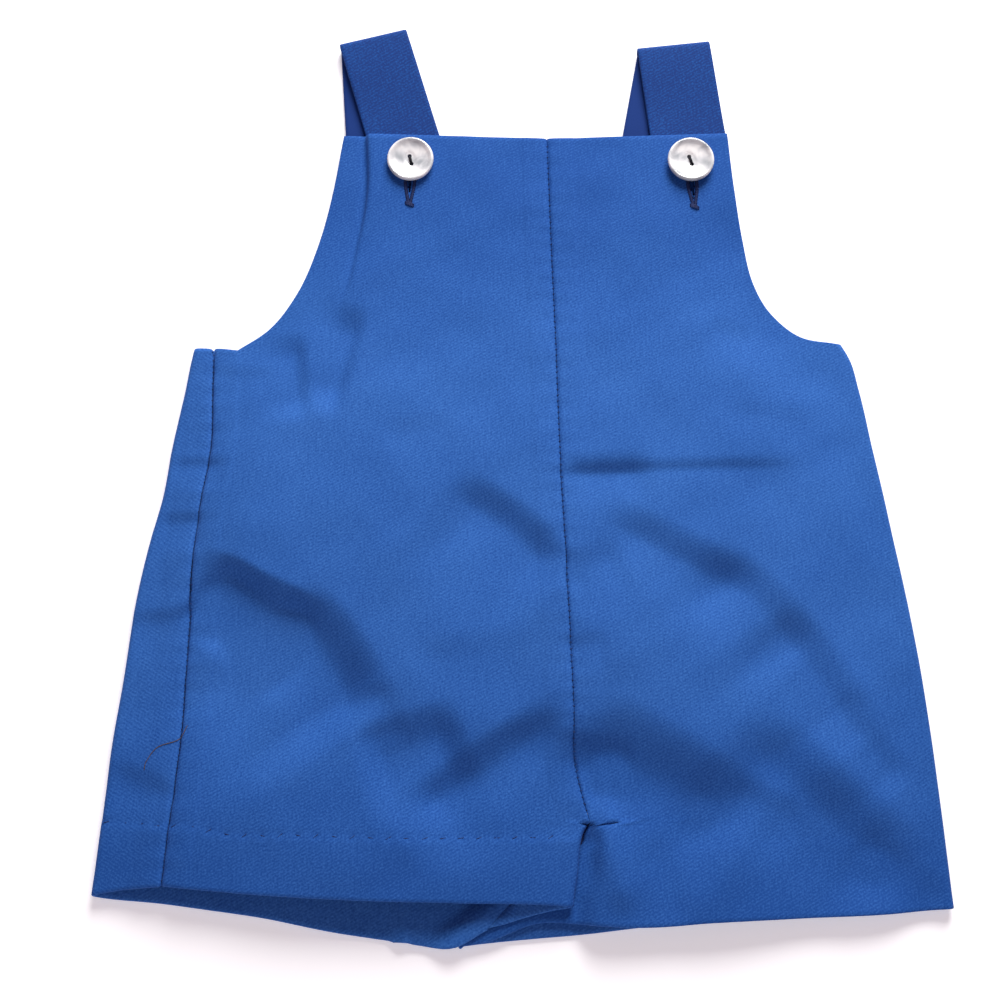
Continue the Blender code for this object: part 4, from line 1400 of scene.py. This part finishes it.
def turned_button(name, centre, seat, thread_turn):
    """A button turned from its profile, its well pressed in, and its two holes bored."""
    steps = np.linspace(0, BUTTON_PROFILE["step"][-1], BUTTON_RINGS)
    radii = np.maximum(through(BUTTON_PROFILE, "radius", steps), 0.0)
    heights = np.maximum(through(BUTTON_PROFILE, "z", steps), 0.0)
    turns = np.arange(BUTTON_SEGMENTS) * 2 * math.pi / BUTTON_SEGMENTS
    places = [(0.0, 0.0, heights[0])]
    for radius, z in zip(radii[1:-1], heights[1:-1]):
        places += [(radius * math.cos(turn), radius * math.sin(turn), z) for turn in turns]
    places.append((0.0, 0.0, 0.0))
    places = np.array(places)
    along = places[:, 0] * math.cos(thread_turn) + places[:, 1] * math.sin(thread_turn)
    across = places[:, 1] * math.cos(thread_turn) - places[:, 0] * math.sin(thread_turn)
    away = (along / WELL["half_length"]) ** 2 + (across / WELL["half_width"]) ** 2
    places[:, 2] -= np.where(places[:, 2] > 1.0, WELL["depth"] * np.exp(-(away**3)), 0.0)
    faces = []
    count = BUTTON_SEGMENTS
    rings = len(radii) - 2
    for j in range(count):
        k = (j + 1) % count
        faces.append([0, 1 + k, 1 + j])
        for ring in range(rings - 1):
            a = 1 + ring * count
            faces.append([a + j, a + k, a + count + k, a + count + j])
        last = 1 + (rings - 1) * count
        faces.append([last + j, last + k, len(places) - 1])
    mesh = bpy.data.meshes.new(name)
    mesh.from_pydata([Vector(place) * MM for place in places], [], [face[::-1] for face in faces])
    mesh.update()
    blank = bpy.data.objects.new(name + "_blank", mesh)
    blank.location = Vector((centre[0], centre[1] - MIDDLE_Y, seat)) * MM
    bpy.context.scene.collection.objects.link(blank)
    drills = []
    for side in (-1, 1):
        offset = side * THREAD_HOLE_OFFSET
        x = centre[0] + offset * math.cos(thread_turn)
        y = centre[1] - MIDDLE_Y + offset * math.sin(thread_turn)
        bpy.ops.mesh.primitive_cylinder_add(
            vertices=DRILL["sides"],
            radius=THREAD_HOLE_RADIUS * MM,
            depth=DRILL["length"] * MM,
            location=Vector((x, y, seat)) * MM,
        )
        drill = bpy.context.object
        cut = blank.modifiers.new("thread hole", "BOOLEAN")
        cut.operation = "DIFFERENCE"
        cut.solver = "EXACT"
        cut.object = drill
        drills.append(drill)
    seen = blank.evaluated_get(bpy.context.evaluated_depsgraph_get())
    bored = bpy.data.meshes.new_from_object(seen)
    bored.transform(blank.matrix_world)
    for drill in (*drills, blank):
        bpy.data.objects.remove(drill)
    bored.materials.clear()
    bored.shade_smooth()
    bored.set_sharp_from_angle(angle=BUTTON_SHARP_EDGE)
    return bored


# Pearl-like: milky layers that shift from white to silver grey in soft bands, under a hard polish.
# The bands are drawn 8 mm apart, which is about two to a button.
GROWTH_BAND_MM = 8.0
PEARL_CLOUD_MM = 6.5
BAND_WEIGHT = 0.3


def pearl(name, centre, turn):
    finish, tree, shader = new_finish(name)
    place = add_node(tree, "ShaderNodeTexCoord").outputs["Object"]
    local = add_node(
        tree,
        "ShaderNodeMapping",
        {
            "Vector": place,
            "Location": Vector((-centre[0], -(centre[1] - MIDDLE_Y), 0.0)) * MM,
            "Rotation": (0.0, 0.0, turn),
        },
        vector_type="POINT",
    ).outputs["Vector"]
    bands = add_node(
        tree,
        "ShaderNodeTexWave",
        {
            "Vector": local,
            "Scale": math.pi / 10 / (GROWTH_BAND_MM * MM),
            "Distortion": 3.0,
            "Detail": 2.0,
            "Detail Scale": 0.7,
        },
    )
    cloud = noise(tree, local, PEARL_CLOUD_MM * MM, 2.0, 0.8)
    layers = weighted(tree, ((bands.outputs["Fac"], BAND_WEIGHT),), cloud)
    colour_ramp(tree, shader, layers, (0.4, "#A3A9AC"), (0.86, "#F4F4F1"), (0.62, "#D0D3D4"))
    raised(tree, shader, layers, 0.1, 0.1)
    set_sockets(shader, {"Roughness": 0.22, "IOR": 1.53, "Coat Weight": 0.6, "Coat Roughness": 0.08})
    return finish


black_thread = thread("black_navy_button_thread", "#04060C", "#0E1322")

for name, (x, y, angle) in BUTTON_CENTRES.items():
    turn = math.radians(angle)
    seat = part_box(name)[0][2] / MM
    mesh = turned_button(name + "_pearl", (x, y), seat, turn)
    button = show(name + "_pearl", mesh, pearl("mother_of_pearl" + name[6:], (x, y), turn))
    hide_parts(name)
    strands = []
    for k in range(BUTTON_THREADS["strands"]):
        aside = (k - (BUTTON_THREADS["strands"] - 1) / 2) * BUTTON_THREADS["spacing"]
        points = []
        arch = BUTTON_THREADS["rise"] - BUTTON_THREADS["crown"] * abs(k - 1)
        for share, z in STRAND_PATH:
            reach = share * THREAD_HOLE_OFFSET
            points.append((
                x + reach * math.cos(turn) - aside * math.sin(turn),
                y + reach * math.sin(turn) + aside * math.cos(turn),
                seat + z + (arch if abs(share) < 1 else 0.0),
            ))
        strands.append((points, BUTTON_THREADS["radius"]))
    sewing = sewn(name + "_thread", strands, black_thread)

# Loose thread end.
# A thin dark line by the right side seam, read as one end of a brown sewing thread that has worked out
# of the seam. It lies on the cloth.
LOOSE_THREAD = ((-116.1, -97.1), (-118.9, -101.9), (-126.1, -104.5), (-129.8, -109.2), (-130.5, -112.3))
LOOSE_THREAD_RADIUS = 0.12
LOOSE_THREAD_POINTS = 41
steps = np.linspace(0, len(LOOSE_THREAD) - 1, LOOSE_THREAD_POINTS)
ends = table("step x y", *((i, *point) for i, point in enumerate(LOOSE_THREAD)))
path = [(float(through(ends, "x", step)), float(through(ends, "y", step))) for step in steps]
points = [(x, y, float(front_top(x, y)) + LOOSE_THREAD_RADIUS) for x, y in path]
brown_thread = thread("brown_overlocking_thread", "#4A3B2F", "#6E5C49")
loose = sewn("loose_thread", [(points, LOOSE_THREAD_RADIUS)], brown_thread)

# Floor, light and camera.
# A lit white table, a soft light beyond the straps, a weaker and broader one beyond the hems, and the
# camera over the foot end, tilted by 12 degrees, which is assumed.
floor_mesh = bpy.data.meshes.new("floor")
FLOOR_REACH = 8.0
FLOOR_Z = -0.0003
corners = [(x * FLOOR_REACH, y * FLOOR_REACH, FLOOR_Z) for x, y in ((-1, -1), (1, -1), (1, 1), (-1, 1))]
floor_mesh.from_pydata(corners, [], [(0, 1, 2, 3)])
floor = bpy.data.objects.new("floor", floor_mesh)
bpy.context.scene.collection.objects.link(floor)
paper, _, paper_shader = new_finish("white_light_table")
lit = {"Emission Color": linear("#FFFFFF"), "Emission Strength": 0.3}
set_sockets(paper_shader, {"Base Color": linear("#FBFBFB"), "Roughness": 0.9, **lit})
floor_mesh.materials.append(paper)

LAID_CENTRE = Vector((0, 0, 0))


def soft_light(name, size, energy, place):
    """A round area light that faces the garment."""
    lamp = bpy.data.lights.new(name, "AREA")
    lamp.shape = "DISK"
    lamp.size = size
    lamp.energy = energy
    light = bpy.data.objects.new(name, lamp)
    light.location = place
    light.rotation_euler = (LAID_CENTRE - light.location).to_track_quat("-Z", "Y").to_euler()
    bpy.context.scene.collection.objects.link(light)


soft_light("low_window_beyond_the_straps", 0.7, 20.5, (0.2, 0.92, 0.56))
soft_light("pale_wall_at_the_hems", 1.4, 7.0, (-0.1, -1.2, 0.55))

room = bpy.data.worlds.new("bright_room")
room.use_nodes = True
room.node_tree.nodes["Background"].inputs["Color"].default_value = linear("#FFD3EA")
room.node_tree.nodes["Background"].inputs["Strength"].default_value = 0.22
bpy.context.scene.world = room
bpy.context.scene.view_settings.view_transform = "Standard"

CAMERA_TILT = math.radians(12)
lens = bpy.data.cameras.new("camera")
lens.lens = 50
lens.sensor_width = 36
camera = bpy.data.objects.new("camera", lens)
camera.location = (-0.0077, -0.12012, 0.49307)
camera.rotation_euler = (CAMERA_TILT, 0, 0)
bpy.context.scene.collection.objects.link(camera)
bpy.context.scene.camera = camera
